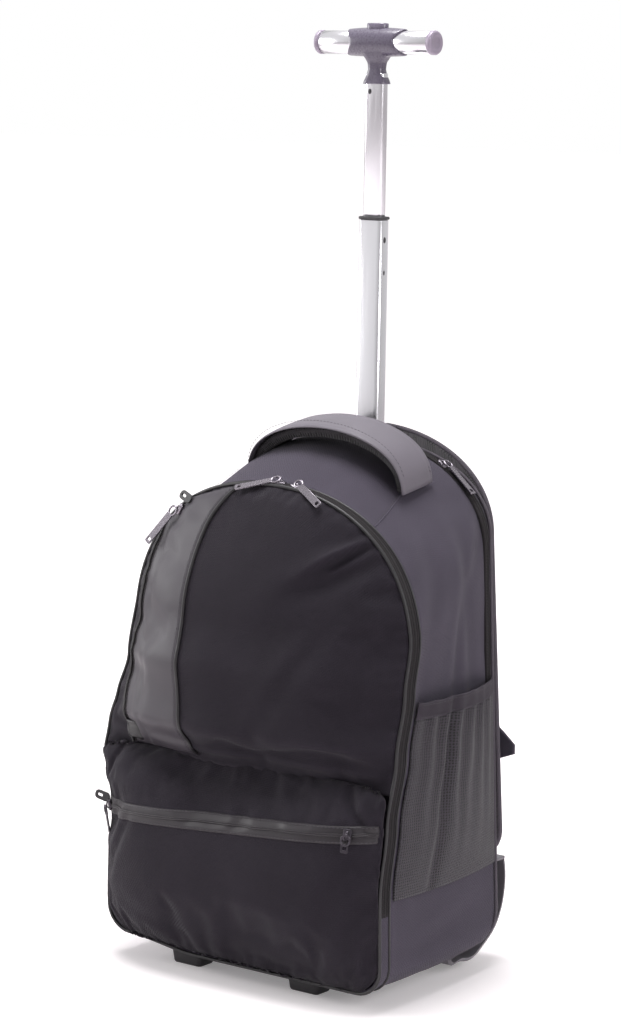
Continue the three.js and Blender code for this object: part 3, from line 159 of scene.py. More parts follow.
FLOOR_SIZE = 30
floor_paper, paper_tree, paper_shader = surface("matt_paper", "#f7f1f3", 0.9,
                                                Emission_Color=(1, 0.98, 0.985, 1))
ray = node(paper_tree, "LightPath", {})
away = node(paper_tree, "VectorMath", {0: node(paper_tree, "TexCoord", {}).outputs["Object"]},
            operation="LENGTH")
# Painted light: the camera sees the glow rise from 0.22 within 0.4 m of the middle to 0.72 from 2 m out, a
# painted shadow round the bag; other rays get an even 0.12 glow
bright = node(paper_tree, "MapRange", {0: away.outputs["Value"], 1: 0.4, 2: 2.0, 3: 0.22, 4: 0.72})
painted_glow = node(paper_tree, "Mix", {0: ray.outputs["Is Camera Ray"], 2: 0.12, 3: bright.outputs[0]})
paper_tree.links.new(painted_glow.outputs[0], paper_shader.inputs["Emission Strength"])
floor_mesh = bmesh.new()
bmesh.ops.create_grid(floor_mesh, x_segments=2, y_segments=2, size=FLOOR_SIZE)
floor_data = bpy.data.meshes.new("floor")
floor_mesh.to_mesh(floor_data)
floor_mesh.free()
floor_data.materials.append(floor_paper)
floor = bpy.data.objects.new("floor", floor_data)
scene.collection.objects.link(floor)


# Body of the bag
# One deep gusset of padded woven polyester from the front compartment to the back wall, with the
# bottom, the round heel and the two wheel wells. It is sewn from flat pieces, so it is a little slack.

FRONT = dict(base=165, side=165, bottom=16, shoulder=315, top=464, power=2.2, corner=26, hangs=True)
BACK = dict(base=157, side=139, bottom=16, shoulder=412, top=494, power=2.1, corner=26, hangs=False)
POCKET = dict(base=165, side=165, bottom=16, shoulder=190, top=208, power=4, corner=34, hangs=True)
SEAM_Y = -102
SEAM_SWEEP = 42
SEAM_HEIGHTS = [
    (0.00, 0.07), (0.24, 0.00), (0.37, 0.20), (0.50, 0.50), (0.62, 0.76), (0.74, 0.98), (0.86, 1.00),
    (1.10, 0.92),
]
FRONT_GUSSET = 14.3
BACK_Y = 100
HEEL = 46
SIDE_BULGE = 3
CROWN = 20
# How far out the slack left side of the front hangs, as a share of its half width, by height
HANG = [
    (0, 0.935), (52, 0.94), (108, 0.93), (131, 0.915), (152, 0.94), (181, 0.99), (200, 1.04), (222, 1.04),
    (250, 1.0), (290, 0.96), (346, 0.955), (400, 0.96), (464, 0.98),
]
HANG_LIFT = 8


def mix(a, b, t):
    return a + (b - a) * t


def ease(t):
    t = min(1, max(0, t))
    return t * t * (3 - 2 * t)


def table(rows, value):
    """The second column of a table at a value of the first, eased between its rows."""
    if value <= rows[0][0]:
        return rows[0][1]
    for (a, before), (b, after) in zip(rows, rows[1:]):
        if value <= b:
            return mix(before, after, ease((value - a) / (b - a)))
    return rows[-1][1]


def seam_y(z):
    return SEAM_Y + SEAM_SWEEP * table(SEAM_HEIGHTS, z / FRONT["top"])


def side_line(size, t, grow=0):
    """A point in X and Z on the right side of an outline: t is 0 at the bottom centre, 1 at the top."""
    base, side = size["base"] + grow, size["side"] + grow
    bottom, radius = size["bottom"] - grow, size["corner"] + grow / 2
    if t < 0.12:
        return (base - radius) * t / 0.12, bottom
    if t < 0.16:
        a = (t - 0.12) / 0.04 * math.pi / 2
        return base - radius + radius * math.sin(a), bottom + radius - radius * math.cos(a)
    if t < 0.56:
        s = (t - 0.16) / 0.40
        return mix(base, side, s), mix(bottom + radius, size["shoulder"], s)
    a = min(1, (t - 0.56) / 0.44) * math.pi / 2
    power = 2 / size["power"]
    across, up = max(0, math.cos(a)) ** power, math.sin(a) ** power
    return side * across if t < 1 else 0, size["shoulder"] + (size["top"] + grow - size["shoulder"]) * up


def lift(x, z):
    """How far the lower left corner of the front is pulled up."""
    return HANG_LIFT * ease((-x - 50) / 90) * (1 - ease((z - 16) / 70))


def hung(x, z):
    """A point on the left of the front, moved as its slack cloth hangs."""
    return x * table(HANG, z), z + lift(x, z)


def outline(size, w, grow=0):
    """The same all the way round: w is 0 at the bottom centre, 0.5 at the top, and 1 at the bottom."""
    x, z = side_line(size, 2 * min(w, 1 - w), grow)
    if w <= 0.5:
        return x, z
    return hung(-x, z) if size["hangs"] else (-x, z)


def gusset(w, share, grow=0):
    fx, fz = outline(FRONT, w, grow)
    bx, bz = outline(BACK, w, grow)
    bulge = SIDE_BULGE * math.sin(math.pi * share)
    x, z = mix(fx, bx, share), mix(fz, bz, share)
    x += bulge * math.copysign(min(1, abs(x) / 60), x)
    if z > 430:
        z += CROWN * math.sin(math.pi * min(1, share)) * ease((z - 430) / 40) * max(0, 1 - (x / 120) ** 2)
    return x, mix(seam_y(z) + FRONT_GUSSET, BACK_Y, share), z


def heel(x, y, z):
    """Brings a point of the gusset in to the round lower back edge."""
    dy, dz = y - (BACK_Y - HEEL), FRONT["bottom"] + HEEL - z
    if dy <= 0 or dz <= 0:
        return x, y, z
    out = max(1, math.hypot(dy, dz) / HEEL)
    return x, BACK_Y - HEEL + dy / out, FRONT["bottom"] + HEEL - dz / out


def skin(rows, round_it=False, loop=False, facing=None):
    """A mesh through rows of points in millimetres, with a map of its real width and length."""
    wide = len(rows[0]) - (0 if round_it else 1)
    long = len(rows) - (0 if loop else 1)
    mesh = bmesh.new()
    bmesh.ops.create_grid(mesh, x_segments=wide, y_segments=long, size=0.5)
    points = [[at(*point) for point in row] for row in rows]
    middle = points[len(points) // 2]
    width = sum((b - a).length for a, b in zip(middle, middle[1:])) / MM / 100
    column = [row[len(row) // 2] for row in points]
    length = sum((b - a).length for a, b in zip(column, column[1:])) / MM / 100
    weave = mesh.loops.layers.uv.new("cloth")
    for face in mesh.faces:
        for corner in face.loops:
            place = corner.vert.co
            corner[weave].uv = ((place.x + 0.5) * width, (place.y + 0.5) * length)
    for vert in mesh.verts:
        i = round((vert.co.x + 0.5) * wide) % len(rows[0])
        j = round((vert.co.y + 0.5) * long) % len(rows)
        vert.co = points[j][i]
    if round_it or loop:
        bmesh.ops.remove_doubles(mesh, verts=mesh.verts, dist=1e-6)
    bmesh.ops.recalc_face_normals(mesh, faces=mesh.faces)
    mesh.normal_update()
    if facing and sum((f.normal * f.calc_area()).dot(Vector(facing)) for f in mesh.faces) < 0:
        bmesh.ops.reverse_faces(mesh, faces=mesh.faces)
    return mesh


def close_ends(mesh):
    bmesh.ops.holes_fill(mesh, edges=[e for e in mesh.edges if e.is_boundary], sides=0)
    bmesh.ops.recalc_face_normals(mesh, faces=mesh.faces)
    return mesh


def ripple(mesh, depth):
    """Moves each point along its normal by depth(x, y, z, normal), in millimetres."""
    mesh.normal_update()
    moves = []
    for vert in mesh.verts:
        place = (vert.co - origin) / MM
        moves.append(vert.normal * depth(place.x, place.y, place.z, vert.normal) * MM)
    for vert, move in zip(mesh.verts, moves):
        vert.co += move


def waves(x, y, z, length, seed=0.0):
    """Smooth noise from -1 to 1 whose bumps are about length across."""
    return noise.noise(Vector((x / length + seed, y / length, z / length)))


def piece(name, mesh, material, stands_for=(), body="bag", flat=False):
    data = bpy.data.meshes.new(name)
    mesh.to_mesh(data)
    mesh.free()
    data.materials.append(material)
    if not flat:
        data.shade_smooth()
    made = bpy.data.objects.new(name, data)
    scene.collection.objects.link(made)
    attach(made, body)
    if stands_for:
        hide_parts(*stands_for)
    return made


def thicken(made, thickness):
    wall = made.modifiers.new("thickness", "SOLIDIFY")
    wall.thickness = thickness * MM
    return made


def soften(made, width=0.6, segments=2):
    edge = made.modifiers.new("worn_edge", "BEVEL")
    edge.width = width * MM
    edge.segments = segments
    edge.limit_method = "ANGLE"
    edge.angle_limit = math.radians(35)
    edge.harden_normals = True
    return made


def woven(name, colour, pitch, depth, sheen, coordinates="cloth"):
    """Woven cloth: threads over and under, uneven yarn, a faint sheen, and convex ridges painted paler as a
    painted highlight.

    The real yarn is about 0.6 mm; it is drawn at the given pitch so that it still shows.
    """
    made, tree, shader = surface(name, colour, 0.82, Sheen_Weight=sheen, Sheen_Roughness=0.4,
                                 Specular_IOR_Level=0.1)
    if coordinates == "cloth":
        place = node(tree, "UVMap", {}, uv_map="cloth").outputs["UV"]
    else:
        place = node(tree, "VectorMath", {0: node(tree, "TexCoord", {}).outputs["Object"], 3: 10.0},
                     operation="SCALE").outputs[0]
    scale = 0.314 / (pitch / 100)
    warp = node(tree, "TexWave", {"Vector": place, "Scale": scale, "Distortion": 0.6, "Detail": 1.0},
                bands_direction="X")
    weft = node(tree, "TexWave", {"Vector": place, "Scale": scale, "Distortion": 0.6, "Detail": 1.0},
                bands_direction="Y")
    over = node(tree, "TexChecker", {"Vector": place, "Scale": 100 / pitch})
    thread = node(tree, "Mix", {0: over.outputs["Fac"], 2: warp.outputs["Fac"], 3: weft.outputs["Fac"]})
    yarn = node(tree, "TexNoise", {"Vector": place, "Scale": 160.0, "Detail": 3.0})
    cloudy = node(tree, "TexNoise", {"Vector": place, "Scale": 1.3, "Detail": 4.0})
    shade = node(tree, "MapRange", {0: thread.outputs[0], 1: 0.0, 2: 1.0, 3: 0.84, 4: 1.08})
    uneven = node(tree, "MapRange", {0: yarn.outputs["Fac"], 1: 0.3, 2: 0.7, 3: 0.86, 4: 1.14})
    patchy = node(tree, "MapRange", {0: cloudy.outputs["Fac"], 1: 0.3, 2: 0.7, 3: 0.93, 4: 1.07})
    # Painted highlight: convex ridges and folds are made up to a third paler
    painted_highlight = node(tree, "MapRange", {0: node(tree, "NewGeometry", {}).outputs["Pointiness"],
                                   1: 0.5, 2: 0.58, 3: 1.0, 4: 1.35})
    level = shade.outputs[0]
    for more in (uneven, patchy, painted_highlight):
        level = node(tree, "Math", {0: level, 1: more.outputs[0]}, operation="MULTIPLY").outputs[0]
    tint = node(tree, "VectorMath", {0: linear(colour)[:3], "Scale": level}, operation="SCALE")
    tree.links.new(tint.outputs[0], shader.inputs["Base Color"])
    rough = node(tree, "MapRange", {0: yarn.outputs["Fac"], 1: 0.2, 2: 0.8, 3: 0.72, 4: 0.92})
    tree.links.new(rough.outputs[0], shader.inputs["Roughness"])
    relief = node(tree, "Math", {0: thread.outputs[0], 1: yarn.outputs["Fac"]}, operation="ADD")
    bump = node(tree, "Bump", {"Height": relief.outputs[0], "Distance": depth * MM, "Strength": 0.8})
    tree.links.new(bump.outputs[0], shader.inputs["Normal"])
    return made


# Woven polyester of the sides: gives the eye a dry, slightly heathered grey-violet
side_cloth = woven("woven_polyester_sides", "#48434e", 1.5, 0.25, 0.1)

AROUND = 260
DEEP = 30
body = skin([[heel(*gusset(i / AROUND, j / DEEP)) for i in range(AROUND)] for j in range(DEEP + 1)],
            round_it=True)
close_ends(body)

# Folds of the slack sides: middle Y and Z, the way each runs, length, width, depth
SIDE_FOLDS = [
    (30, 330, 80, 70, 9, 3.0), (52, 320, 95, 80, 10, 2.4), (-20, 360, 70, 70, 14, 2.0),
    (10, 60, 10, 60, 10, 1.6), (70, 400, 60, 50, 10, 2.2), (-45, 250, 85, 60, 9, 1.8),
]


def fold(dx, dz, turn, length, width, depth):
    """A fold that runs at an angle, with a sharper near side."""
    c, s = math.cos(math.radians(turn)), math.sin(math.radians(turn))
    along, off = (dx * c + dz * s) / length, (dz * c - dx * s) / width
    return depth * math.exp(-along * along) * (math.exp(-off * off) - 0.5 * math.exp(-((off - 1.3) ** 2)))


def side_slack(x, y, z, normal):
    slack = 0.9 * waves(x, y, z, 70) + 0.5 * waves(x, y, z, 24, 5.0)
    pucker = math.exp(-abs(y - seam_y(z) - FRONT_GUSSET) / 12) + math.exp(-abs(y - BACK_Y) / 10)
    slack += 0.7 * pucker * waves(x, y / 6, z, 9, 9.0)
    if abs(normal.x) > 0.5:
        slack -= sum(fold(y - fy, z - fz, *rest) for fy, fz, *rest in SIDE_FOLDS)
    return slack * (0.3 if z < FRONT["bottom"] + 2 else 1)


ripple(body, side_slack)
body_cloth = piece("body_cloth", body, side_cloth, ["main_compartment"])

body_skin = BVHTree.FromObject(body_cloth, bpy.context.evaluated_depsgraph_get())
WELL = dict(inner=100, outer=154, front=38, top=100)
CHANNEL = dict(half=16, front=85.5, bottom=59.5)


def carve(made, low, high):
    """Cuts a straight-sided room out of a closed piece."""
    mesh = bmesh.new()
    bmesh.ops.create_cube(mesh, size=1)
    low, high = at(*low), at(*high)
    for vert in mesh.verts:
        vert.co = Vector([mix(low[i], high[i], vert.co[i] + 0.5) for i in range(3)])
    data = bpy.data.meshes.new("room")
    mesh.to_mesh(data)
    mesh.free()
    room = bpy.data.objects.new("room", data)
    scene.collection.objects.link(room)
    cut = made.modifiers.new("cut", "BOOLEAN")
    cut.object = room
    cut.operation = "DIFFERENCE"
    apply_modifiers(made)
    bpy.data.objects.remove(room)


def apply_modifiers(made):
    shown = made.evaluated_get(bpy.context.evaluated_depsgraph_get())
    done = bpy.data.meshes.new_from_object(shown)
    made.modifiers.clear()
    old, made.data = made.data, done
    name = old.name
    bpy.data.meshes.remove(old)
    made.data.name = name


SEAM_LINES = []
for way in (1, -1):
    ends = sorted((way * WELL["inner"], way * WELL["outer"]))
    carve(body_cloth, (ends[0], WELL["front"], -50), (ends[1], 300, WELL["top"]))
carve(body_cloth, (-CHANNEL["half"], CHANNEL["front"], CHANNEL["bottom"]), (CHANNEL["half"], 300, 700))


def nearest(tree, point, lift=0.0):
    """The point of a finished surface nearest to a point, lifted off it, and its normal."""
    hit, normal, _, _ = tree.find_nearest(at(*point))
    return (hit - origin) / MM + normal * lift, normal


GUSSET_SEAM = [(0.404, 0.02), (0.406, 0.15), (0.409, 0.30), (0.412, 0.45)]
for way, side in ((1, "right"), (-1, "left")):
    line, outs = [], []
    for k in range(61):
        w, share = [mix(GUSSET_SEAM[k // 21][i], GUSSET_SEAM[k // 21 + 1][i],
                        (k % 21) / 20) for i in range(2)]
        point, out = nearest(body_skin, gusset(w if way > 0 else 1 - w, share), 0.2)
        line.append(point)
        outs.append(out)
    SEAM_LINES.append((side, line, outs))


# Front compartment
# A dome of the same polyester, painted a darker tone as painted shade, sewn into the arch and
# slightly slack: it is pinned round its seam, blown up a little and settled as cloth, with a pinch at the
# top right.

# Woven polyester of the front: the sides' cloth in a darker charcoal, painted shade for the front that
# faces away from the lights
front_cloth_painted_shade = woven("woven_polyester_front_painted_shade", "#28242b", 1.5, 0.25, 0.1)

PANEL_BULGE = 51
PANEL_SWELL = [
    (0.00, 0.10), (0.43, 0.10), (0.448, 0.12), (0.475, 0.42), (0.52, 0.75), (0.66, 0.98), (0.80, 1.08),
    (1.10, 1.00),
]
# Broad folds: middle X and Z, the way each runs, length, width, depth
BROAD_FOLDS = [
    (102, 371, 35, 60, 24, 5), (129, 288, 80, 80, 26, 4), (50, 232, 15, 70, 22, 4),
    (-25, 260, 100, 90, 34, -3),
]
# Sharper creases, in the same columns
CREASES = [
    (99, 406, 33, 22, 4.2, 7.5), (90, 386, 27, 34, 11, 6.0), (-112, 300, 90, 100, 4, 1.4),
    (60, 226, 8, 40, 6, 3.0), (115, 228, -8, 34, 6, 3.4),
    (10, 224, -14, 24, 5, 2.4), (-20, 226, 20, 22, 5, 2.2), (140, 330, 70, 40, 8, 2.6),
    (70, 300, 55, 60, 10, 1.8),
    (-118, 330, 80, 60, 6, 1.2), (-128, 270, 95, 50, 6, 1.2),
]


def beyond(size, x, z):
    x = abs(x)
    if z < size["bottom"] or x > size["base"]:
        return True
    if z > size["shoulder"]:
        rise = (z - size["shoulder"]) / (size["top"] - size["shoulder"])
        return (x / size["side"]) ** size["power"] + rise ** size["power"] > 1
    low, far = size["bottom"] + size["corner"] - z, x - size["base"] + size["corner"]
    return low > 0 and far > 0 and math.hypot(low, far) > size["corner"]


def share_out(size, x, z):
    """How far out a point lies from the middle of an outline: 0 there and 1 on the outline."""
    if size["hangs"] and x < 0:
        x, z = x / table(HANG, z), z - lift(x, z)
    middle = (size["top"] + size["bottom"]) / 2
    near, far = 0.0, 1.0
    for _ in range(14):
        share = (near + far) / 2
        if beyond(size, x / share, middle + (z - middle) / share):
            near = share
        else:
            far = share
    return far


def panel_y(x, z):
    broad = 0
    for fx, fz, turn, length, width, depth in BROAD_FOLDS:
        c, s = math.cos(math.radians(turn)), math.sin(math.radians(turn))
        along, off = ((x - fx) * c + (z - fz) * s) / length, ((z - fz) * c - (x - fx) * s) / width
        broad += depth * math.exp(-along * along - off * off)
    slack = 1 - share_out(FRONT, x, z) ** 3
    swell = PANEL_BULGE * table(PANEL_SWELL, z / FRONT["top"])
    return seam_y(z) - (swell - broad) * slack


def spaced(line, count):
    """count + 1 points at equal steps along a line of points."""
    runs = [math.dist(a, b) for a, b in zip(line, line[1:])]
    total, found, i, gone = sum(runs), [], 0, 0.0
    for k in range(count + 1):
        want = total * k / count
        while i < len(runs) - 1 and gone + runs[i] < want:
            gone += runs[i]
            i += 1
        t = min(1, (want - gone) / runs[i]) if runs[i] else 0
        found.append([mix(p, q, t) for p, q in zip(line[i], line[i + 1])])
    return found


def quilt(bottom, top, left, right):
    """Fills four edge lines with rows of points, as a sheet stretched in a frame."""
    across, up = len(bottom) - 1, len(left) - 1
    rows = []
    for j in range(up + 1):
        v, row = j / up, []
        for i in range(across + 1):
            u = i / across
            row.append([
                mix(bottom[i][k], top[i][k], v) + mix(left[j][k], right[j][k], u)
                - mix(mix(bottom[0][k], bottom[-1][k], u), mix(top[0][k], top[-1][k], u), v)
                for k in range(2)])
        rows.append(row)
    return rows


PANEL_FOOT = 196
PANEL_ACROSS, PANEL_UP = 92, 78
TURN = 0.80                     # where the arch leaves the sides of the grid for its top


def arch_points(size, start, end, count, dense=600):
    line = [outline(size, mix(start, end, k / dense)) for k in range(dense + 1)]
    return spaced(line, count)


flank_share = 0.16 + 0.40 * (PANEL_FOOT - 32) / (FRONT["shoulder"] - 32)
right_edge = arch_points(FRONT, flank_share / 2, TURN / 2, PANEL_UP)
left_edge = [hung(-x, z) for x, z in right_edge]
top_edge = arch_points(FRONT, 1 - TURN / 2, TURN / 2, PANEL_ACROSS)
bottom_edge = spaced([left_edge[0], right_edge[0]], PANEL_ACROSS)
panel_rows = quilt(bottom_edge, top_edge, left_edge, right_edge)


def front_slack(x, y, z, normal):
    edge = (1 - share_out(FRONT, x, z)) * 200
    slack = 0.8 * waves(x, 0, z, 60, 2.0) + 0.35 * waves(x, 0, z, 21, 7.0)
    angle = math.atan2(z - 300, x) * 20
    slack += 1.1 * math.exp(-edge / 16) * noise.noise(Vector((angle, edge / 60, 3.0)))
    slack -= sum(fold(x - fx, z - fz, *rest) for fx, fz, *rest in CREASES)
    return slack * ease(edge / 9)


panel = skin([[(x, panel_y(x, z), z) for x, z in row] for row in panel_rows], facing=(0, -1, 0))
ripple(panel, front_slack)
front_panel = piece("front_panel", panel, front_cloth_painted_shade, ["front_compartment"])


def settle(made, pressure, slack, limit, frames=20):
    """Lets a sheet that is sewn down round its edge settle as cloth, and keeps the result."""
    data = made.data
    counts = [0] * len(data.edges)
    for face in data.polygons:
        for key in face.loop_indices:
            counts[data.loops[key].edge_index] += 1
    sewn = {v for edge, used in zip(data.edges, counts) if used == 1 for v in edge.vertices}
    made.vertex_groups.new(name="sewn").add(list(sewn), 1.0, "REPLACE")
    start = [vert.co.copy() for vert in data.vertices]
    cloth = made.modifiers.new("cloth", "CLOTH")
    cloth.settings.quality = 6
    cloth.settings.mass = 0.25
    cloth.settings.tension_stiffness = 18
    cloth.settings.compression_stiffness = 18
    cloth.settings.bending_stiffness = 1.2
    cloth.settings.vertex_group_mass = "sewn"
    cloth.settings.use_pressure = True
    cloth.settings.uniform_pressure_force = pressure
    cloth.settings.shrink_min = -slack
    cloth.settings.effector_weights.gravity = 0
    cloth.collision_settings.use_collision = False
    cloth.point_cache.frame_start = 1
    cloth.point_cache.frame_end = frames
    for step in range(1, frames + 1):
        scene.frame_set(step)
    shown = made.evaluated_get(bpy.context.evaluated_depsgraph_get())
    ends = [vert.co.copy() for vert in shown.data.vertices]
    made.modifiers.remove(cloth)
    made.vertex_groups.clear()
    for vert, old, new in zip(data.vertices, start, ends):
        move = new - old
        reach = limit * MM
        vert.co = old + move * min(1, reach / move.length if move.length > 0 else 1)
    scene.frame_set(1)


settle(front_panel, pressure=1.0, slack=0.02, limit=5)


def covering(made):
    """The surface of a finished piece, to press other pieces onto."""
    return BVHTree.FromObject(made, bpy.context.evaluated_depsgraph_get())


def pressed(tree, x, z, lift=0.0, fallback=0.0):
    """The point of a front surface at X and Z, lifted off it, and its normal."""
    hit, normal, _, _ = tree.ray_cast(at(x, -400, z), Vector((0, 1, 0)))
    if hit is None:
        return Vector((x, fallback, z)), Vector((0, -1, 0))
    if normal.y > 0:
        normal = -normal
    return (hit - origin) / MM + normal * lift, normal


panel_skin = covering(front_panel)
thicken(front_panel, 3.0)


# Front pocket
# A padded pocket over the lower front, as wide as the bag, whose top edge rolls over softly and
# leaves a dark gap under the dome. It sags a little and creases at its left and right ends.

POCKET_BULGE = 27
POCKET_LIP = 6
POCKET_CREASES = [
    (-128, 112, 60, 34, 6, 3.0), (-136, 140, 80, 30, 7, 2.4), (-60, 196, 4, 60, 7, 2.0),
    (70, 192, -3, 60, 8, 2.0),
    (140, 184, -50, 18, 5, 3.0), (30, 60, 10, 90, 16, 1.6), (-90, 50, -12, 60, 12, 1.8),
    (120, 90, 70, 50, 12, 1.8),
]


def pocket_y(x, z):
    seam = seam_y(z) - 0.3 - POCKET_LIP * ease((z - POCKET["bottom"]) / (POCKET["top"] - POCKET["bottom"]))
    swell = POCKET_BULGE * mix(0.88, 1, math.sin(math.pi * min(1, z / POCKET["top"])))
    return seam - swell * (1 - share_out(POCKET, x, z) ** 4.5)


POCKET_ACROSS, POCKET_UP = 110, 70
POCKET_TURN = 0.70


def edge_dense(line, count, ends):
    """Points along a line that crowd together towards its ends."""
    fine = spaced(line, 400)
    found = []
    for k in range(count + 1):
        t = k / count
        found.append(fine[round(400 * mix(t, (1 - math.cos(math.pi * t)) / 2, ends))])
    return found


pocket_right = [outline(POCKET, mix(0.06, 0.28, k / 300)) for k in range(301)]
pocket_right += [outline(POCKET, mix(0.28, POCKET_TURN / 2, k / 300)) for k in range(1, 301)]
pocket_right = edge_dense(pocket_right, POCKET_UP, 0.75)
pocket_left = [hung(-x, z) for x, z in pocket_right]
pocket_top = edge_dense(
    [outline(POCKET, mix(1 - POCKET_TURN / 2, POCKET_TURN / 2, k / 400)) for k in range(401)],
    POCKET_ACROSS, 0.75)
pocket_bottom = edge_dense([pocket_left[0], pocket_right[0]], POCKET_ACROSS, 0.75)
pocket_rows = quilt(pocket_bottom, pocket_top, pocket_left, pocket_right)


def pocket_slack(x, y, z, normal):
    edge = (1 - share_out(POCKET, x, z)) * 100
    slack = 0.9 * waves(x, 0, z, 64, 12.0) + 0.4 * waves(x, 0, z, 22, 17.0)
    slack += 0.9 * math.exp(-edge / 12) * waves(x, y, z, 8, 23.0)
    slack -= sum(fold(x - fx, z - fz, *rest) for fx, fz, *rest in POCKET_CREASES)
    return slack * ease(edge / 8)


pocket = skin([[(x, pocket_y(x, z), z) for x, z in row] for row in pocket_rows], facing=(0, -1, 0))
ripple(pocket, pocket_slack)
# The pocket is in the front cloth, painted darker than the sides as painted shade
front_pocket = piece("front_pocket_cloth", pocket, front_cloth_painted_shade, ["front_pocket"])
settle(front_pocket, pressure=0.8, slack=0.02, limit=5)
pocket_skin = covering(front_pocket)
thicken(front_pocket, 2.4)


# Gusset of the front compartment and its zip
# A narrow woven strip behind the dome's seam. The zip is sewn on it: two ribbed tapes with the
# coil between them, a round welt in front, and one row of stitches beside each tape.


def hoop(size, front, back, profile, start, end, count=240, round_it=False):
    """A strip that follows an outline behind the front seam. profile lists (share of its depth, height)."""
    rows = []
    for share, height in profile:
        row = []
        for k in range(count + (0 if round_it else 1)):
            w = mix(start, end, k / count)
            x, z = outline(size, w, height)
            base = outline(size, w)[1]
            row.append((x, seam_y(base) + mix(front, back, share), z))
        rows.append(row)
    return skin(rows, round_it=round_it)


def run(points, outs, section, loop=False):
    """Runs a closed section along points. Each section point is (to the side, out along the normal)."""
    rows = []
    last = len(points) - 1
    for j, (point, out) in enumerate(zip(points, outs)):
        point, out = Vector(point), Vector(out).normalized()
        before = Vector(points[j - 1] if j or loop else points[j])
        after = Vector(points[(j + 1) % len(points)] if j < last or loop else points[j])
        ahead = (after - before).normalized()
        side = ahead.cross(out).normalized()
        shape = section(j / last) if callable(section) else section
        rows.append([point + side * s + out * o for s, o in shape])
    mesh = skin(rows, round_it=True, loop=loop)
    return mesh if loop else close_ends(mesh)


def round_section(radius, sides=8, lift=0.0, flat=1.0):
    turn = [2 * math.pi * k / sides for k in range(sides)]
    return [(radius * math.cos(a), lift + radius * flat * math.sin(a)) for a in turn]


def stitches(points, outs, length=2.6, gap=1.3, radius=0.28):
    """A row of short threads that dip into the cloth at both ends, along a line of points."""
    fine = spaced([list(p) for p in points], 4 * len(points))
    runs = sum(math.dist(a, b) for a, b in zip(fine, fine[1:]))
    count = int(runs / (length + gap))
    row = spaced(fine, count * 2)
    made = []
    for k in range(count):
        a, b = Vector(row[2 * k]), Vector(row[2 * k + 1])
        out = Vector(outs[min(len(outs) - 1, round(len(outs) * k / count))]).normalized()
        ahead = (b - a).normalized()
        side = ahead.cross(out)
        middle = (a + b) / 2
        rings = []
        for along, size, rise in ((-0.5, 0.3, -0.5), (-0.3, 0.9, 0.0), (0.3, 0.9, 0.0), (0.5, 0.3, -0.5)):
            centre = middle + ahead * length * along + out * radius * (0.4 + rise)
            rings.append([centre + (side * math.cos(t) + out * math.sin(t)) * radius * size
                          for t in [math.pi * i / 3 for i in range(6)]])
        made.append(close_ends(skin(rings, round_it=True)))
    return joined(made)


def joined(meshes):
    whole = bmesh.new()
    for mesh in meshes:
        data = bpy.data.meshes.new("part")
        mesh.to_mesh(data)
        mesh.free()
        whole.from_mesh(data)
        bpy.data.meshes.remove(data)
    return whole


# Twisted polyester thread: gives the eye fine pale dashes along the seams
seam_thread, thread_tree, thread_shader = surface("polyester_thread", "#3f3b42", 0.6)
twist = node(thread_tree, "TexWave",
             {"Vector": node(thread_tree, "TexCoord", {}).outputs["Object"], "Scale": 900.0},
             bands_direction="DIAGONAL")
twist_bump = node(thread_tree, "Bump", {"Height": twist.outputs["Fac"], "Distance": 0.1 * MM})
thread_tree.links.new(twist_bump.outputs[0], thread_shader.inputs["Normal"])


def sew(name, points, outs, body="bag", **sizes):
    piece(name, stitches(points, outs, **sizes), seam_thread, body=body)


for side, line, outs in SEAM_LINES:
    piece(f"gusset_seam_{side}", run(line, outs, round_section(0.7, 6, flat=0.6)), side_cloth)
    sew(f"gusset_stitches_{side}", [p + Vector((0, 0, 3)) for p in line], outs)

# Woven zip tape: gives the eye two dull ribs with fine cross lines
zip_tape = woven("zip_tape", "#2a2729", 0.9, 0.4, 0.05)


def coil(name, colour):
    """Nylon zip coil: close cross ridges along the length, slightly shiny, with the grooves between them
    painted darker as painted shade.
    """
    made, tree, shader = surface(name, colour, 0.45)
    place = node(tree, "UVMap", {}, uv_map="cloth").outputs["UV"]
    teeth = node(tree, "TexWave", {"Vector": place, "Scale": 0.314 / 0.016}, bands_direction="Y")
    # Painted shade: the grooves between the ridges take a darker colour
    tint = node(tree, "Mix", {0: teeth.outputs["Fac"], 6: linear("#1d1b1d"), 7: linear(colour)},
                data_type="RGBA")
    tree.links.new(tint.outputs[2], shader.inputs["Base Color"])
    bump = node(tree, "Bump", {"Height": teeth.outputs["Fac"], "Distance": 0.5 * MM, "Strength": 1.0})
    tree.links.new(bump.outputs[0], shader.inputs["Normal"])
    return made


zip_coil = coil("nylon_zip_coil", "#2b282a")

ZIP_START = 0.116
TAPE_PROFILE = [
    (0, -0.6), (0, 0.9), (0.06, 1.3), (0.14, 1.3), (0.2, 0.8), (0.36, 0.9), (0.44, 1.7), (0.5, 0.5),
    (0.56, 1.7),
    (0.64, 0.9), (0.8, 0.8), (0.86, 1.3), (0.94, 1.3), (1, 0.9), (1, -0.6),
]
rim = hoop(FRONT, 0, FRONT_GUSSET, [(k / 6, 0.2 * math.sin(math.pi * k / 6)) for k in range(7)], 0, 1,
           round_it=True)
front_rim = thicken(piece("front_gusset", rim, side_cloth), 2.0)
front_zip = piece("front_zip_tape", hoop(FRONT, 1, 10.5, TAPE_PROFILE, ZIP_START, 1 - ZIP_START), zip_tape,
                  ["front_zip"])
thicken(front_zip, 0.8)


def arch_line(size, depth, grow, start, end, count=300):
    points, outs = [], []
    for k in range(count + 1):
        w = mix(start, end, k / count)
        x, z = outline(size, w, grow)
        ahead = Vector(outline(size, min(1, w + 0.002))) - Vector(outline(size, max(0, w - 0.002)))
        points.append((x, seam_y(outline(size, w)[1]) + depth, z))
        outs.append((ahead.y, 0, -ahead.x))
    return points, outs


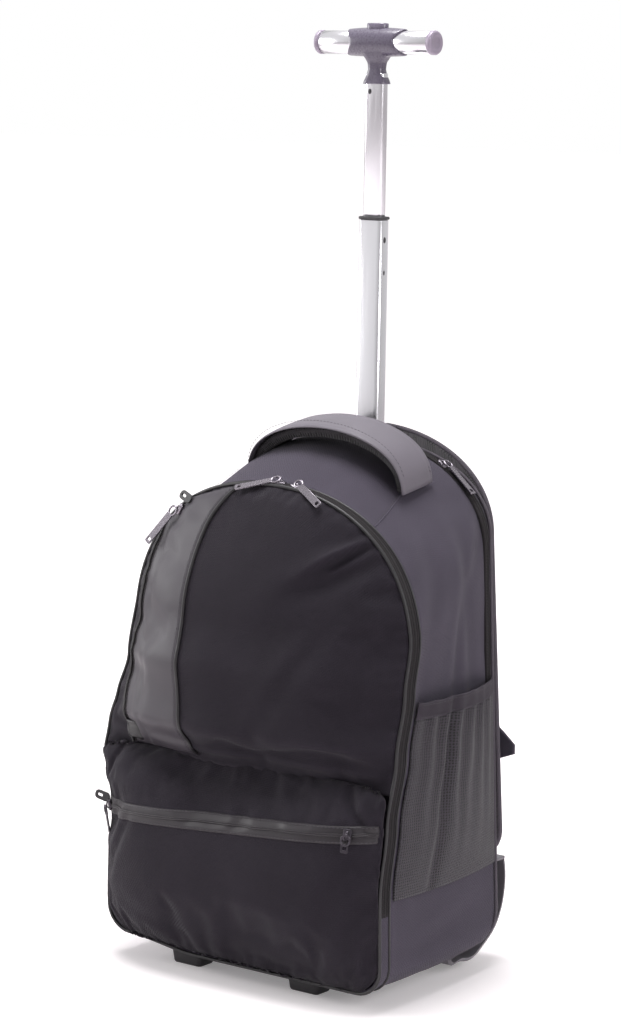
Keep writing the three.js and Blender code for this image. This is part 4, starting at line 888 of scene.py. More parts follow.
# Piping of smooth coated tape: gives the eye one thin dark glossy line along each seam
piping_tape, piping_tree, piping_shader = surface("coated_piping", "#1f1d20", 0.45)
grain = node(piping_tree, "TexNoise", {"Scale": 900.0, "Detail": 2.0,
                                       "Vector": node(piping_tree, "TexCoord", {}).outputs["Object"]})
piping_bump = node(piping_tree, "Bump", {"Height": grain.outputs["Fac"], "Distance": 0.1 * MM})
piping_tree.links.new(piping_bump.outputs[0], piping_shader.inputs["Normal"])

for name, depth in (("front", 1.9), ("rear", 9.6)):
    line, outs = arch_line(FRONT, depth, 1.3, ZIP_START, 1 - ZIP_START)
    sew(f"front_zip_stitches_{name}", line, outs)
line, outs = arch_line(FRONT, 5.75, 0.9, ZIP_START, 1 - ZIP_START)
piece("front_zip_coil", run(line, outs, round_section(1.5)), zip_coil)
line, outs = arch_line(FRONT, -0.6, 0.4, 0.0, 1.0, 400)
piece("front_welt", run(line[:-1], outs[:-1], round_section(1.7), loop=True), piping_tape)
line, outs = arch_line(FRONT, FRONT_GUSSET, 0.3, 0.0, 1.0, 400)
piece("gusset_welt", run(line[:-1], outs[:-1], round_section(1.3), loop=True), piping_tape)


# Main zip and the bound back seam
# The main compartment opens along the gusset just in front of the back. Its zip swings forward
# round the pole, and a folded binding covers the seam of the back wall.

MAIN_SHARE = 0.9455
MAIN_FRONT, MAIN_BAND, MAIN_BOW = 85, 8, 11


def bow(x):
    return MAIN_BOW * (1 - ease((abs(x) - 23.7) / 47.4))


def main_zip_line(depth, grow, start, end, count=260):
    points, outs = [], []
    for k in range(count + 1):
        w = mix(start, end, k / count)
        x, _, z = gusset(w, MAIN_SHARE, grow)
        y = MAIN_FRONT - bow(x) + depth
        share = (y - seam_y(z) - FRONT_GUSSET) / (BACK_Y - seam_y(z) - FRONT_GUSSET)
        x, _, z = gusset(w, share, grow)
        a, b = gusset(max(0, w - 0.002), share), gusset(min(1, w + 0.002), share)
        points.append((x, y, z))
        outs.append((b[2] - a[2], 0, a[0] - b[0]))
    return points, outs


MAIN_START = 0.5 * (0.16 + 0.40 * (250 - 32) / (396 - 32))
main_rows = [main_zip_line(MAIN_BAND * share, height, MAIN_START, 1 - MAIN_START)[0] for share,
             height in TAPE_PROFILE]
main_tape = thicken(piece("main_zip_tape", skin(main_rows), zip_tape, ["main_zip"]), 0.8)
line, outs = main_zip_line(MAIN_BAND / 2, 0.9, MAIN_START, 1 - MAIN_START)
piece("main_zip_coil", run(line, outs, round_section(1.4)), zip_coil)

binding_line, binding_outs = [], []
for k in range(400):
    w = k / 400
    x, y, z = heel(*gusset(w, 1.0, 0.8))
    binding_line.append((x, y - 0.5, z))
    ahead = Vector(outline(BACK, min(1, w + 0.002))) - Vector(outline(BACK, max(0, w - 0.002)))
    binding_outs.append((ahead.y, 0.6 * ahead.length, -ahead.x))
# Folded grosgrain binding: gives the eye a ribbed light edge round the back
binding = woven("grosgrain_binding", "#504b52", 1.2, 0.3, 0.1)
back_binding = piece("back_binding",
                     run(binding_line, binding_outs, round_section(2.6, 10, flat=0.7), loop=True),
                     binding)
# The seam and the pad behind it leave a notch for the pole
POLE_NOTCH = ((-15, 80, 480), (15, 104.8, 530))
carve(back_binding, *POLE_NOTCH)


# Smooth band, piping and upright zip of the dome
# A strip of satin coated cloth runs down the left of the dome. A piping edges it on the right
# and a short zip on the left. All three lie on the dome and follow its folds.

BAND_LINE = [
    # share of the height, piping's share of the half width, the zip's share
    (0.440, -0.300, -0.800), (0.505, -0.318, -0.840), (0.560, -0.337, -0.870), (0.615, -0.350, -0.870),
    (0.670, -0.356, -0.845), (0.740, -0.360, -0.800), (0.830, -0.350, -0.770), (0.885, -0.334, -0.740),
    (0.930, -0.300, -0.690), (0.975, -0.225, -0.620), (1.000, -0.160, -0.580),
]
PIPING_LINE = [(row[0], row[1]) for row in BAND_LINE]
ZIP_LINE = [(row[0], row[2]) for row in BAND_LINE]
BAND_LOW, BAND_HIGH = 209, 463
HALF = FRONT["side"]


def flowing(rows, value):
    """The second column of a table at a value of the first, on a smooth curve through its rows."""
    for k in range(len(rows) - 1):
        if value <= rows[k + 1][0] or k == len(rows) - 2:
            break
    (a, b), (c, d) = rows[k], rows[k + 1]
    before, after = rows[max(0, k - 1)], rows[min(len(rows) - 1, k + 2)]
    t, step = (value - a) / (c - a), c - a
    rise = (d - before[1]) / (c - before[0]) * step
    fall = (after[1] - b) / (after[0] - a) * step
    return (b * (2 * t ** 3 - 3 * t ** 2 + 1) + rise * (t ** 3 - 2 * t ** 2 + t)
            + d * (3 * t ** 2 - 2 * t ** 3) + fall * (t ** 3 - t ** 2))


def arch_height(x, inset):
    return FRONT["shoulder"] + (FRONT["top"] - FRONT["shoulder"]) * (
        max(0, 1 - (abs(x) / HALF) ** FRONT["power"]) ** (1 / FRONT["power"])) - inset


def band_edge(rows, t, shift, inset=1.0):
    """A point in X and Z along an edge of the band, from the pocket up to the seam of the arch."""
    z = mix(BAND_LOW, BAND_HIGH, t)
    x = flowing(rows, z / FRONT["top"]) * HALF + shift
    return x, min(z, arch_height(x, inset))


def strip(tree, left, right, across, up, lift):
    """A flat strip pressed onto a front surface between two lines, with thin edges."""
    rows = []
    for j in range(up + 1):
        (ax, az), (bx, bz) = left(j / up), right(j / up)
        row = []
        for i in range(across + 1):
            u = i / across
            edge = min(u, 1 - u) * across
            point, _ = pressed(tree, mix(ax, bx, u), mix(az, bz, u), lift * min(1, 0.3 + edge / 2))
            row.append(point)
        rows.append(row)
    mesh = skin(rows, facing=(0, -1, 0))
    inner = [v for v in mesh.verts if not v.is_boundary]
    for _ in range(2):
        bmesh.ops.smooth_vert(mesh, verts=inner, factor=0.5, use_axis_x=True, use_axis_y=True,
                              use_axis_z=True)
    return mesh


def satin(name, colour, roughness, grain_size, depth):
    """Coated cloth: fine pebble grain, satin coat, faint rubbed patches."""
    made, tree, shader = surface(name, colour, roughness, Specular_IOR_Level=0.3, Coat_Weight=0.05,
                                 Coat_Roughness=0.4)
    place = node(tree, "TexCoord", {}).outputs["Object"]
    pebble = node(tree, "TexVoronoi", {"Vector": place, "Scale": 1000 / grain_size}, feature="SMOOTH_F1")
    rub = node(tree, "TexNoise", {"Vector": place, "Scale": 22.0, "Detail": 5.0})
    tone = node(tree, "MapRange", {0: rub.outputs["Fac"], 1: 0.3, 2: 0.7, 3: 0.93, 4: 1.06})
    tint = node(tree, "VectorMath", {0: linear(colour)[:3], "Scale": tone.outputs[0]}, operation="SCALE")
    tree.links.new(tint.outputs[0], shader.inputs["Base Color"])
    rough = node(tree, "MapRange",
                 {0: rub.outputs["Fac"], 1: 0.3, 2: 0.7, 3: roughness - 0.08, 4: roughness + 0.1})
    tree.links.new(rough.outputs[0], shader.inputs["Roughness"])
    bump = node(tree, "Bump",
                {"Height": pebble.outputs["Distance"], "Distance": depth * MM, "Strength": 0.6})
    tree.links.new(bump.outputs[0], shader.inputs["Normal"])
    return made


# Satin coated cloth of the band: gives the eye a smooth grey strip that catches the light
band_satin = satin("satin_coated_cloth", "#3e3a40", 0.5, 0.9, 0.12)

band = strip(panel_skin, lambda t: band_edge(ZIP_LINE, t, 3.5), lambda t: band_edge(PIPING_LINE, t, -1.0),
             36, 120, 1.3)
band_cloth = thicken(piece("band_cloth", band, band_satin, ["front_band"]), 1.2)


PIPE_STEPS = 150


def pressed_line(tree, edge, lift, count):
    points, outs = [], []
    for k in range(count + 1):
        point, normal = pressed(tree, *edge(k / count), lift)
        points.append(point)
        outs.append(normal)
    for _ in range(3):
        points = [points[0]] + [(a + b * 2 + c) / 4 for a, b,
                                c in zip(points, points[1:], points[2:])] + [points[-1]]
        outs = [outs[0]] + [(a + b * 2 + c) / 4 for a, b, c in zip(outs, outs[1:], outs[2:])] + [outs[-1]]
    return points, outs


line, outs = pressed_line(panel_skin, lambda t: band_edge(PIPING_LINE, t, 0.4), 1.2, PIPE_STEPS)
piece("band_piping_cord", run(line, outs, round_section(1.7)), piping_tape,
                ["band_piping"])
upright = strip(panel_skin, lambda t: band_edge(ZIP_LINE, t, -4.0), lambda t: band_edge(ZIP_LINE, t, 4.0),
                10, 120, 1.0)
upright_tape = thicken(piece("upright_zip_tape", upright, zip_tape, ["band_zip"]), 0.8)
line, outs = pressed_line(panel_skin, lambda t: band_edge(ZIP_LINE, t, 0.0), 1.9, PIPE_STEPS)
piece("upright_zip_coil", run(line, outs, round_section(1.3)), zip_coil)

# The foot of the upright zip is covered by a folded patch of tape
PATCH_LOW, PATCH_HIGH = 213, 231


def patch_edge(shift):
    def edge(t):
        z = mix(PATCH_LOW, PATCH_HIGH, t)
        return flowing(ZIP_LINE, z / FRONT["top"]) * HALF + shift, z
    return edge


patch = thicken(piece("zip_end_patch", strip(panel_skin, patch_edge(-5), patch_edge(15), 8, 8, 3.0),
                      piping_tape), 1.2)


line, outs = pressed_line(panel_skin, lambda t: band_edge(PIPING_LINE, t, -4.5), 2.0, PIPE_STEPS)
sew("band_stitches_right", line, outs)
line, outs = pressed_line(panel_skin, lambda t: band_edge(ZIP_LINE, t, 7.0), 2.0, PIPE_STEPS)
sew("band_stitches_left", line, outs)


# Zip tape of the front pocket
# A wide shiny coated tape with a hidden zip along its middle slopes across the pocket, sewn with
# two rows of stitches above and below.

TAPE_LEFT, TAPE_RIGHT, TAPE_HEIGHT = 146, 167, 16

# Coated water-shedding tape: gives the eye a smoother, slightly shiny band
coated_tape = satin("coated_zip_tape", "#302c30", 0.5, 1.2, 0.08)


def tape_edge(shift):
    def edge(t):
        x = mix(-153, 162, t)
        return x, mix(TAPE_LEFT, TAPE_RIGHT, t) + shift
    return edge


tape = strip(pocket_skin, tape_edge(TAPE_HEIGHT / 2), tape_edge(-TAPE_HEIGHT / 2), 14, 150, 1.0)
pocket_tape = thicken(piece("pocket_tape_cloth", tape, coated_tape, ["pocket_zip_tape"]), 0.9)
line, outs = pressed_line(pocket_skin, tape_edge(0.0), 1.2, PIPE_STEPS)
piece("pocket_zip_lips",
                run(line, outs, [(-1.6, 0), (-1.4, 0.8), (-0.2, 0.5), (0, -0.4), (0.2, 0.5),
                                                    (1.4, 0.8), (1.6, 0)]), coated_tape)


for name, off in (("upper", TAPE_HEIGHT / 2 - 1.6), ("lower", 1.6 - TAPE_HEIGHT / 2)):
    line, outs = pressed_line(pocket_skin, tape_edge(off), 1.6, PIPE_STEPS)
    sew(f"pocket_stitches_{name}", line, outs)


# Bottle pockets
# Knitted mesh on both sides, gathered into a wide elastic at the top so that pleats fan down, and
# sewn flat round the other three edges.

BOTTLE_LOW, BOTTLE_HIGH, ELASTIC_HEIGHT = 103, 280, 15
BOTTLE_BULGE = 12
BOTTLE_BACK = 96
PLEATS = 7


def side_x(y, z, way):
    start = seam_y(z) + FRONT_GUSSET
    share = min(1, max(0, (y - start) / (BACK_Y - start)))
    back = mix(BACK["base"], BACK["side"], min(1, max(0, (z - 32) / (BACK["shoulder"] - 32))))
    front = FRONT["side"] * (table(HANG, z) if way < 0 else 1)
    return mix(front, back, share) + SIDE_BULGE * math.sin(math.pi * share)


def bottle(z, t, off, pleat, way):
    rise = min(1, max(0, (z - BOTTLE_LOW) / (BOTTLE_HIGH - BOTTLE_LOW)))
    y = mix(seam_y(z) + FRONT_GUSSET + 4, BOTTLE_BACK, t)
    swell = math.sin(math.pi * t) ** 0.7 * math.sin(math.pi * min(0.62, 0.1 + rise)) ** 0.8
    bunch = 2 * math.pi * PLEATS * t + 1.5 * waves(y, z / 4, 0, 40)
    depth = pleat * math.cos(bunch) * rise ** 1.5 * math.sin(math.pi * t) ** 0.5
    deep = -8.0 * math.exp(-(((t - 0.36 + 0.06 * (1 - rise)) / 0.04) ** 2)) * rise ** 0.3 * (1 - rise * 0.5)
    return side_x(y, z, way) + 1 + off + BOTTLE_BULGE * swell + depth + deep, y, z


def knit(name, colour, hole, hole_size, depth):
    """Knitted mesh: a honeycomb of round holes, deeper than the yarn, painted near black as painted shade.
    """
    made, tree, shader = surface(name, colour, 0.8, Sheen_Weight=0.1)
    place = node(tree, "UVMap", {}, uv_map="cloth").outputs["UV"]
    cells = node(tree, "TexVoronoi", {"Vector": place, "Scale": 100 / hole_size, "Randomness": 0.25},
                 voronoi_dimensions="2D")
    painted_shade_holes = node(tree, "MapRange", {0: cells.outputs["Distance"], 1: 0.22, 2: 0.42})
    yarn = node(tree, "TexNoise", {"Vector": place, "Scale": 220.0, "Detail": 2.0})
    # Painted shade: the holes take the given near-black colour, standing in for the shade inside them
    tint = node(tree, "Mix", {0: painted_shade_holes.outputs[0], 6: linear(hole), 7: linear(colour)},
                data_type="RGBA")
    tree.links.new(tint.outputs[2], shader.inputs["Base Color"])
    relief = node(tree, "Math", {0: painted_shade_holes.outputs[0], 1: yarn.outputs["Fac"]}, operation="ADD")
    bump = node(tree, "Bump", {"Height": relief.outputs[0], "Distance": depth * MM, "Strength": 0.9})
    tree.links.new(bump.outputs[0], shader.inputs["Normal"])
    return made


# Knitted polyester mesh: gives the eye a dark net with a honeycomb of small holes, their near-black colour
# painted shade
pocket_mesh = knit("knitted_mesh", "#37323a", "#0e0d0f", 2.6, 0.6)
# Woven elastic: gives the eye a paler ribbed edge
elastic_band = woven("woven_elastic", "#3f3a41", 1.1, 0.4, 0.05)

MESH_TOP = BOTTLE_HIGH - ELASTIC_HEIGHT
for way, side in ((1, "right"), (-1, "left")):
    def sewn(low, high, off, pleat, up):
        rows = []
        for j in range(up + 1):
            z = mix(low, high, j / up)
            row = []
            for i in range(121):
                x, y, _ = bottle(z, i / 120, off, pleat, way)
                row.append((way * x, y,
                            z + (0.4 * math.cos(2 * math.pi * PLEATS * i / 120) if z > MESH_TOP else 0)))
            rows.append(row)
        return skin(rows, facing=(way, 0, 0))

    net = thicken(piece(f"mesh_pocket_{side}", sewn(BOTTLE_LOW, MESH_TOP + 0.5, 1.4, 3.2, 60), pocket_mesh,
                        [f"bottle_pocket_{side}"]), 1.2)
    top = thicken(piece(f"mesh_pocket_elastic_{side}", sewn(MESH_TOP, BOTTLE_HIGH, 2.2, 0.5, 8),
                        elastic_band,
                        [f"bottle_elastic_{side}"]), 2.0)
    for name, z in (("upper", BOTTLE_HIGH - 2), ("lower", MESH_TOP + 2)):
        line = []
        for i in range(3, 118):
            x, y, _ = bottle(z, i / 120, 3.4, 0.5, way)
            line.append(Vector((way * x, y, z)))
        sew(f"elastic_stitches_{name}_{side}", line, [(way, 0, 0)] * len(line))


# Grab handle
# A wide strip of smooth leatherette arches over the top, sewn to a padded underside of spacer
# mesh. Both ends are sewn flat on the gusset.

HANDLE = dict(span=178, rise=56, x=15, y=28, foot=462, tilt=10, strip=50, pad=38, pad_depth=10)

# Leatherette of the grab handle: gives the eye a pale smooth strip with soft light along it
leatherette = satin("leatherette", "#68636b", 0.5, 0.8, 0.15)
# Spacer mesh: gives the eye dark padding with a fine honeycomb of holes, their near-black colour painted
# shade
spacer_mesh = knit("spacer_mesh", "#2d292e", "#0f0e0f", 2.4, 0.6)

tilt = Matrix.Rotation(math.radians(HANDLE["tilt"]), 3, "X")


def handle_line(count=70):
    points, outs = [], []
    for k in range(count + 1):
        a = math.pi * (1 - k / count)
        point = Vector((HANDLE["span"] / 2 * math.cos(a), 0, HANDLE["rise"] * max(0, math.sin(a)) ** 0.8))
        points.append(tilt @ point + Vector((HANDLE["x"], HANDLE["y"], HANDLE["foot"])))
        outs.append(tilt @ Vector((math.cos(a) * HANDLE["rise"], 0, math.sin(a) * HANDLE["span"] / 2)))
    return points, outs


def strip_section(width, low, high, crown, groove=None):
    """A soft flat section: its upper side is crowned, with a sewn groove near each edge."""
    half, shape = width / 2, []
    steps = 24
    for k in range(steps + 1):
        s = mix(-half, half, k / steps)
        out = high + crown * (1 - (s / half) ** 2) - crown
        if groove and abs(abs(s) - half + groove) < half / steps * 1.2:
            out -= 0.5
        if k in (0, steps):
            out -= min(1.2, (high - low) / 2)
        shape.append((s, out))
    for k in range(steps + 1):
        s = mix(half, -half, k / steps)
        shape.append((s * 0.985, low + 0.4 * (abs(s) / half) ** 4))
    return shape


line, outs = handle_line()
strip_shape = strip_section(HANDLE["strip"], 0.2, 3.2, 1.0, groove=3.5)
grab = run(line, outs, strip_shape)
ripple(grab, lambda x, y, z, normal: 0.35 * waves(x, y, z, 26, 31.0))
grab_strip = piece("grab_handle_strip", grab, leatherette, ["handle_strip"])
for name, across in (("front", 1), ("rear", -1)):
    edge = [p + Vector((0, -across * (HANDLE["strip"] / 2 - 3.5), 0)) + Vector(o).normalized() * 3.0
            for p, o in zip(line, outs)][3:-3]
    sew(f"handle_stitches_{name}", edge, outs[3:-3])
pad_shape = [(s, o - HANDLE["pad_depth"] - 0.2) for s,
             o in strip_section(HANDLE["pad"], 0, HANDLE["pad_depth"], 0.4)]
pad = run(line, outs, [(s * (1 - 0.06 * (o < -4)), o) for s, o in pad_shape])
ripple(pad, lambda x, y, z, normal: 0.4 * waves(x, y, z, 18, 37.0))
piece("grab_handle_pad", pad, spacer_mesh, ["handle_pad"])


# Trolley pole
# Two drawn aluminium tubes slide in a fixed sleeve. The upper one has a moulded collar below it
# and two spring pins in its right side, and carries the T handle.


def rounded(width, depth, radius, steps=5):
    shape = []
    for cx, cy, start in ((1, 1, 0), (-1, 1, 90), (-1, -1, 180), (1, -1, 270)):
        for k in range(steps + 1):
            a = math.radians(start + 90 * k / steps)
            shape.append((cx * (width / 2 - radius) + radius * math.cos(a),
                          cy * (depth / 2 - radius) + radius * math.sin(a)))
    return shape


def post(width, depth, radius, heights, y=POLE_Y, x=0):
    """An upright bar through heights, each a (z, growth) pair."""
    rows = []
    for z, grow in heights:
        shape = rounded(width + 2 * grow, depth + 2 * grow, max(0.3, radius + grow))
        rows.append([(x + px, y + py, z) for px, py in shape])
    return close_ends(skin(rows, round_it=True))


def metal(name, colour, roughness, brushed, way):
    """Anodised or plated metal with fine drawn lines along one direction."""
    made, tree, shader = surface(name, colour, roughness, metallic=1.0)
    place = node(tree, "TexCoord", {}).outputs["Object"]
    stretch = node(tree, "Mapping", {"Vector": place, "Scale": way})
    lines = node(tree, "TexNoise", {"Vector": stretch.outputs[0], "Scale": 900.0, "Detail": 3.0})
    rough = node(tree, "MapRange",
                 {0: lines.outputs["Fac"], 1: 0.3, 2: 0.7, 3: roughness - brushed, 4: roughness + brushed})
    tree.links.new(rough.outputs[0], shader.inputs["Roughness"])
    bump = node(tree, "Bump", {"Height": lines.outputs["Fac"], "Distance": 0.02 * MM, "Strength": 0.4})
    tree.links.new(bump.outputs[0], shader.inputs["Normal"])
    return made


def moulded(name, colour, roughness, grain_size, coat=0.0):
    """Moulded plastic: fine spark texture, and sharp edges painted paler as a painted highlight."""
    made, tree, shader = surface(name, colour, roughness, Coat_Weight=coat, Coat_Roughness=0.15)
    place = node(tree, "TexCoord", {}).outputs["Object"]
    spark = node(tree, "TexNoise", {"Vector": place, "Scale": 1000 / grain_size, "Detail": 3.0})
    # Painted highlight: convex edges are made up to half again paler
    painted_highlight = node(tree, "MapRange",
                {0: node(tree, "NewGeometry", {}).outputs["Pointiness"], 1: 0.5, 2: 0.6, 3: 1.0, 4: 1.5})
    tint = node(tree, "VectorMath", {0: linear(colour)[:3], "Scale": painted_highlight.outputs[0]}, operation="SCALE")
    tree.links.new(tint.outputs[0], shader.inputs["Base Color"])
    rough = node(tree, "MapRange",
                 {0: spark.outputs["Fac"], 1: 0.3, 2: 0.7, 3: roughness - 0.06, 4: roughness + 0.08})
    tree.links.new(rough.outputs[0], shader.inputs["Roughness"])
    bump = node(tree, "Bump", {"Height": spark.outputs["Fac"], "Distance": 0.06 * MM, "Strength": 0.6})
    tree.links.new(bump.outputs[0], shader.inputs["Normal"])
    return made


# Drawn, satin anodised aluminium: gives the eye a bright silver bar with soft mirror light
aluminium = metal("anodised_aluminium", "#e9e7ec", 0.22, 0.05, (1, 1, 0.02))
# Black moulded nylon of the collar and the ladder locks
black_nylon = moulded("moulded_nylon", "#2b292c", 0.5, 0.8)

piece("sleeve_tube", post(31, 20, 6, [(60, -0.4), (60.4, 0), (491.6, 0), (492, -0.4)]), aluminium,
      ["pole_sleeve"])
piece("lower_tube", post(27, 16, 4.6, [(274, -0.4), (274.4, 0), (703.6, 0), (704, -0.4)]), aluminium,
      ["pole_lower"], body="pole_lower")
piece("upper_tube", post(21, 11, 3.4, [(642, -0.4), (642.4, 0), (841, 0), (842, 0)]), aluminium,
      ["pole_upper"], body="pole_upper")
collar = post(28.6, 18.6, 5.5, [(704.3, -0.8), (704.7, 0), (706.4, 0), (707.1, -0.8), (707.3, -2.6)])
piece("collar_ring", collar, black_nylon, ["pole_collar"], body="pole_lower")


def button_pin(x, y, z, across, up, out):
    """A spring pin that shows as a small dome in a tube's face."""
    mesh = bmesh.new()
    bmesh.ops.create_uvsphere(mesh, u_segments=20, v_segments=12, radius=1)
    sizes = Vector((across / 2, 0.8, up / 2)) if abs(out.y) > 0.5 else Vector((0.8, across / 2, up / 2))
    for vert in mesh.verts:
        vert.co = at(x, y, z) + Vector([vert.co[i] * sizes[i] * MM for i in range(3)])
    return mesh


piece("pin_upper", button_pin(-4, 90.4, 825, 3.5, 5, Vector((0, -1, 0))), black_nylon,
      body="pole_upper")
piece("pin_lower", button_pin(13.4, 95, 685, 4, 6, Vector((1, 0, 0))), black_nylon,
      body="pole_lower")
piece("pin_stop", button_pin(13.4, 95, 654, 2, 5, Vector((1, 0, 0))), black_nylon,
      body="pole_lower")


# T handle
# A moulded hub flows from the tube's collar into two short sleeves whose ends are scooped out
# round bright grip tubes. A release button sits in its top, and each grip ends in a flush cap.

GRIP = dict(z=871, radius=11, start=14, end=62.7, tip=68)
# Glossy moulded plastic of the hub: gives the eye a smooth violet-grey with long soft lights
hub_plastic = moulded("gloss_plastic", "#595262", 0.28, 2.0, coat=0.3)
cap_plastic = moulded("grey_plastic", "#857b8a", 0.4, 1.0)

NECK = [
    # height, half width, half depth
    (832, 13.2, 8.6), (835, 12.2, 8.2), (840, 9.6, 7.2), (846, 8.0, 6.8), (852, 8.6, 7.4), (858, 12.5, 9.5),
    (864, 16.0, 11.0),
]


def hub_mesh():
    around, long = 48, 30
    rows = []
    for j in range(long + 1):
        v = j / long * 2 - 1
        row = []
        for i in range(around):
            a = 2 * math.pi * i / around
            reach = 23.5 + 9.5 * abs(math.sin(a)) ** 1.6
            radius = 13.4 + 0.6 * math.cos(v * math.pi / 2) * max(0, math.sin(a)) - 0.9 * abs(v) ** 3
            row.append((v * reach, POLE_Y - radius * math.cos(a), GRIP["z"] + radius * math.sin(a)))
        rows.append(row)
    mesh = close_ends(skin(rows, round_it=True))
    rows = []
    for z, wide, deep in NECK:
        rows.append([(x, POLE_Y + y, z) for x, y in rounded(2 * wide, 2 * deep, min(wide, deep) * 0.7)])
    neck = close_ends(skin(rows, round_it=True))
    data = bpy.data.meshes.new("neck")
    neck.to_mesh(data)
    neck.free()
    mesh.from_mesh(data)
    bpy.data.meshes.remove(data)
    return mesh


hub = piece("t_hub", hub_mesh(), hub_plastic, ["handle_hub"], body="pole_upper")
fuse = hub.modifiers.new("fuse", "REMESH")
fuse.mode = "VOXEL"
fuse.voxel_size = 0.8 * MM
smooth = hub.modifiers.new("smooth", "SMOOTH")
smooth.factor = 0.5
smooth.iterations = 7
apply_modifiers(hub)
hub.data.shade_smooth()

button = post(22, 12, 5.5, [(878, 0), (888.2, 0), (888.8, -0.5), (889, -1.4)])
piece("release_button", button, hub_plastic, ["handle_button"], body="button")

for way, side in ((1, "right"), (-1, "left")):
    def bar(stations, sides=56):
        """A round bar along the grip's axis through stations, each an (x, radius) pair."""
        rows = []
        for x, radius in stations:
            turn = [2 * math.pi * k / sides for k in range(sides)]
            rows.append([(way * x, POLE_Y + radius * math.cos(a),
                          GRIP["z"] + radius * math.sin(a)) for a in turn])
        return close_ends(skin(rows, round_it=True))

    piece(f"grip_tube_{side}", bar([(14, 10.6), (14.4, 11), (62.3, 11), (62.7, 10.6)]), aluminium,
          [f"handle_grip_{side}"], body="pole_upper")
    cap = bar([(62.9, 10.4), (63.0, 11.3), (66.6, 11.4), (67.6, 10.8), (68, 9.6), (68.0, 6), (67.7, 5.6),
               (67.7, 0.5)])
    piece(f"grip_end_{side}", cap, cap_plastic, [f"grip_cap_{side}"], body="pole_upper")


# Wheels, corner guards and feet
# Two soft-tyred wheels turn on steel axles inside moulded corner guards at the lower back. The
# front stands on two moulded feet screwed through the bottom.

WHEEL = dict(x=118, y=80, radius=30, width=22)
# Soft polyurethane tyre, moulded wheel disc, tough moulded guard, bright steel
tyre_rubber = moulded("polyurethane_tyre", "#2e2c2f", 0.75, 1.5)
disc_plastic = moulded("wheel_disc_plastic", "#6d6870", 0.45, 1.2)
guard_plastic = moulded("guard_plastic", "#6a666c", 0.5, 0.7)
steel = metal("bright_steel", "#bdb9c0", 0.3, 0.08, (1, 1, 1))

GUARD_POINTS = [
    # share of the depth behind the well's front, share of the well's height
    (0.00, 0.17), (0.22, 0.11), (0.41, 0.09), (0.59, 0.16), (0.82, 0.31), (0.95, 0.51), (1.00, 0.76),
    (0.97, 0.97),
    (0.90, 1.00), (0.15, 1.00), (0.00, 0.84),
]
GUARD = dict(back=133, inner=100, outer=146, wall=3.5)


def turned(profile, way, sides=64):
    """A wheel part turned about the axle: profile lists (distance along the axle, radius)."""
    rows = []
    for along, radius in profile:
        turn = [2 * math.pi * k / sides for k in range(sides)]
        rows.append([(way * (WHEEL["x"] + along), WHEEL["y"] + radius * math.cos(a),
                      WHEEL["radius"] + radius * math.sin(a))
                     for a in turn])
    return skin(rows, round_it=True, loop=True)


def curve_through(points, steps):
    """A smooth closed line through points."""
    count, found = len(points), []
    for k in range(count):
        a, b, c, d = (Vector(points[(k + i) % count]) for i in (-1, 0, 1, 2))
        for s in range(steps):
            t = s / steps
            found.append(0.5 * (2 * b + (c - a) * t + (2 * a - 5 * b + 4 * c - d) * t * t
                                + (3 * b - a - 3 * c + d) * t ** 3))
    return found


depth = GUARD["back"] - WELL["front"]
guard_line = curve_through([(WELL["front"] + b * depth, h * WELL["top"]) for b, h in GUARD_POINTS], 5)
guard_centre = Vector((WHEEL["y"], WELL["top"] / 2))

for way, side in ((1, "right"), (-1, "left")):
    half, radius = WHEEL["width"] / 2, WHEEL["radius"]
    tyre = turned([(-8, 20), (-9.6, 21), (-10, 27), (-7.5, 29.2), (-3, 30), (3, 30), (7.5, 29.2), (10, 27),
                   (9.6, 21),
                   (8, 20)], way)
    piece(f"tyre_{side}", tyre, tyre_rubber, [f"wheel_{side}"], body=f"wheel_{side}")
    disc = turned([(-11, 4.4), (-11, 9), (-8, 10), (-7.4, 18.5), (-8.6, 20.4), (8.6, 20.4), (7.4, 18.5),
                   (8, 10), (11, 9),
                   (11, 4.4)], way)
    piece(f"wheel_disc_{side}", disc, disc_plastic, body=f"wheel_{side}")
    spokes = bmesh.new()
    for k in range(6):
        a = math.radians(60 * k + 10)
        for face in (-1, 1):
            spot = at(way * WHEEL["x"] + face * 7.6, WHEEL["y"] + 14 * math.cos(a),
                      WHEEL["radius"] + 14 * math.sin(a))
            matrix = Matrix.Translation(spot) @ Matrix.Rotation(a, 4,
                    "X") @ Matrix.Diagonal((0.004, 0.01, 0.0026, 1))
            bmesh.ops.create_uvsphere(spokes, u_segments=12, v_segments=8, radius=0.5, matrix=matrix)
    piece(f"wheel_ribs_{side}", spokes, disc_plastic, body=f"wheel_{side}")
    rows = []
    for x, inset in ((GUARD["inner"], 0.0), (GUARD["outer"] - 1.5, 0.0), (GUARD["outer"], 1.5),
                     (GUARD["outer"], 3.5),
                     (107, 3.5)):
        row = []
        for point in guard_line:
            pull = (guard_centre - point).normalized() * inset
            row.append((way * x, point.x + pull.x, point.y + pull.y))
        rows.append(row)
    guard = piece(f"corner_shell_{side}", close_ends(skin(rows, round_it=True)), guard_plastic,
                  [f"corner_guard_{side}"])
    ends = sorted((way * 105.5, way * 130.5))
    carve(guard, (ends[0], WHEEL["y"] - 34, -50), (ends[1], WHEEL["y"] + 34, 36))
    ends = sorted((way * 105.5, way * 132))
    carve(guard, (ends[0], WHEEL["y"] - 34, 30), (ends[1], WHEEL["y"] + 34, 64))
    soften(guard, 0.7)
    foot_heights = [(0, -3.0), (0.6, -2.4), (2, -1.6), (12, 0.0), (15.7, 0.2)]
    piece(f"front_foot_{side}", post(37, 26, 6, foot_heights, y=-77, x=way * 69.5), black_nylon,
          [f"foot_{side}"])


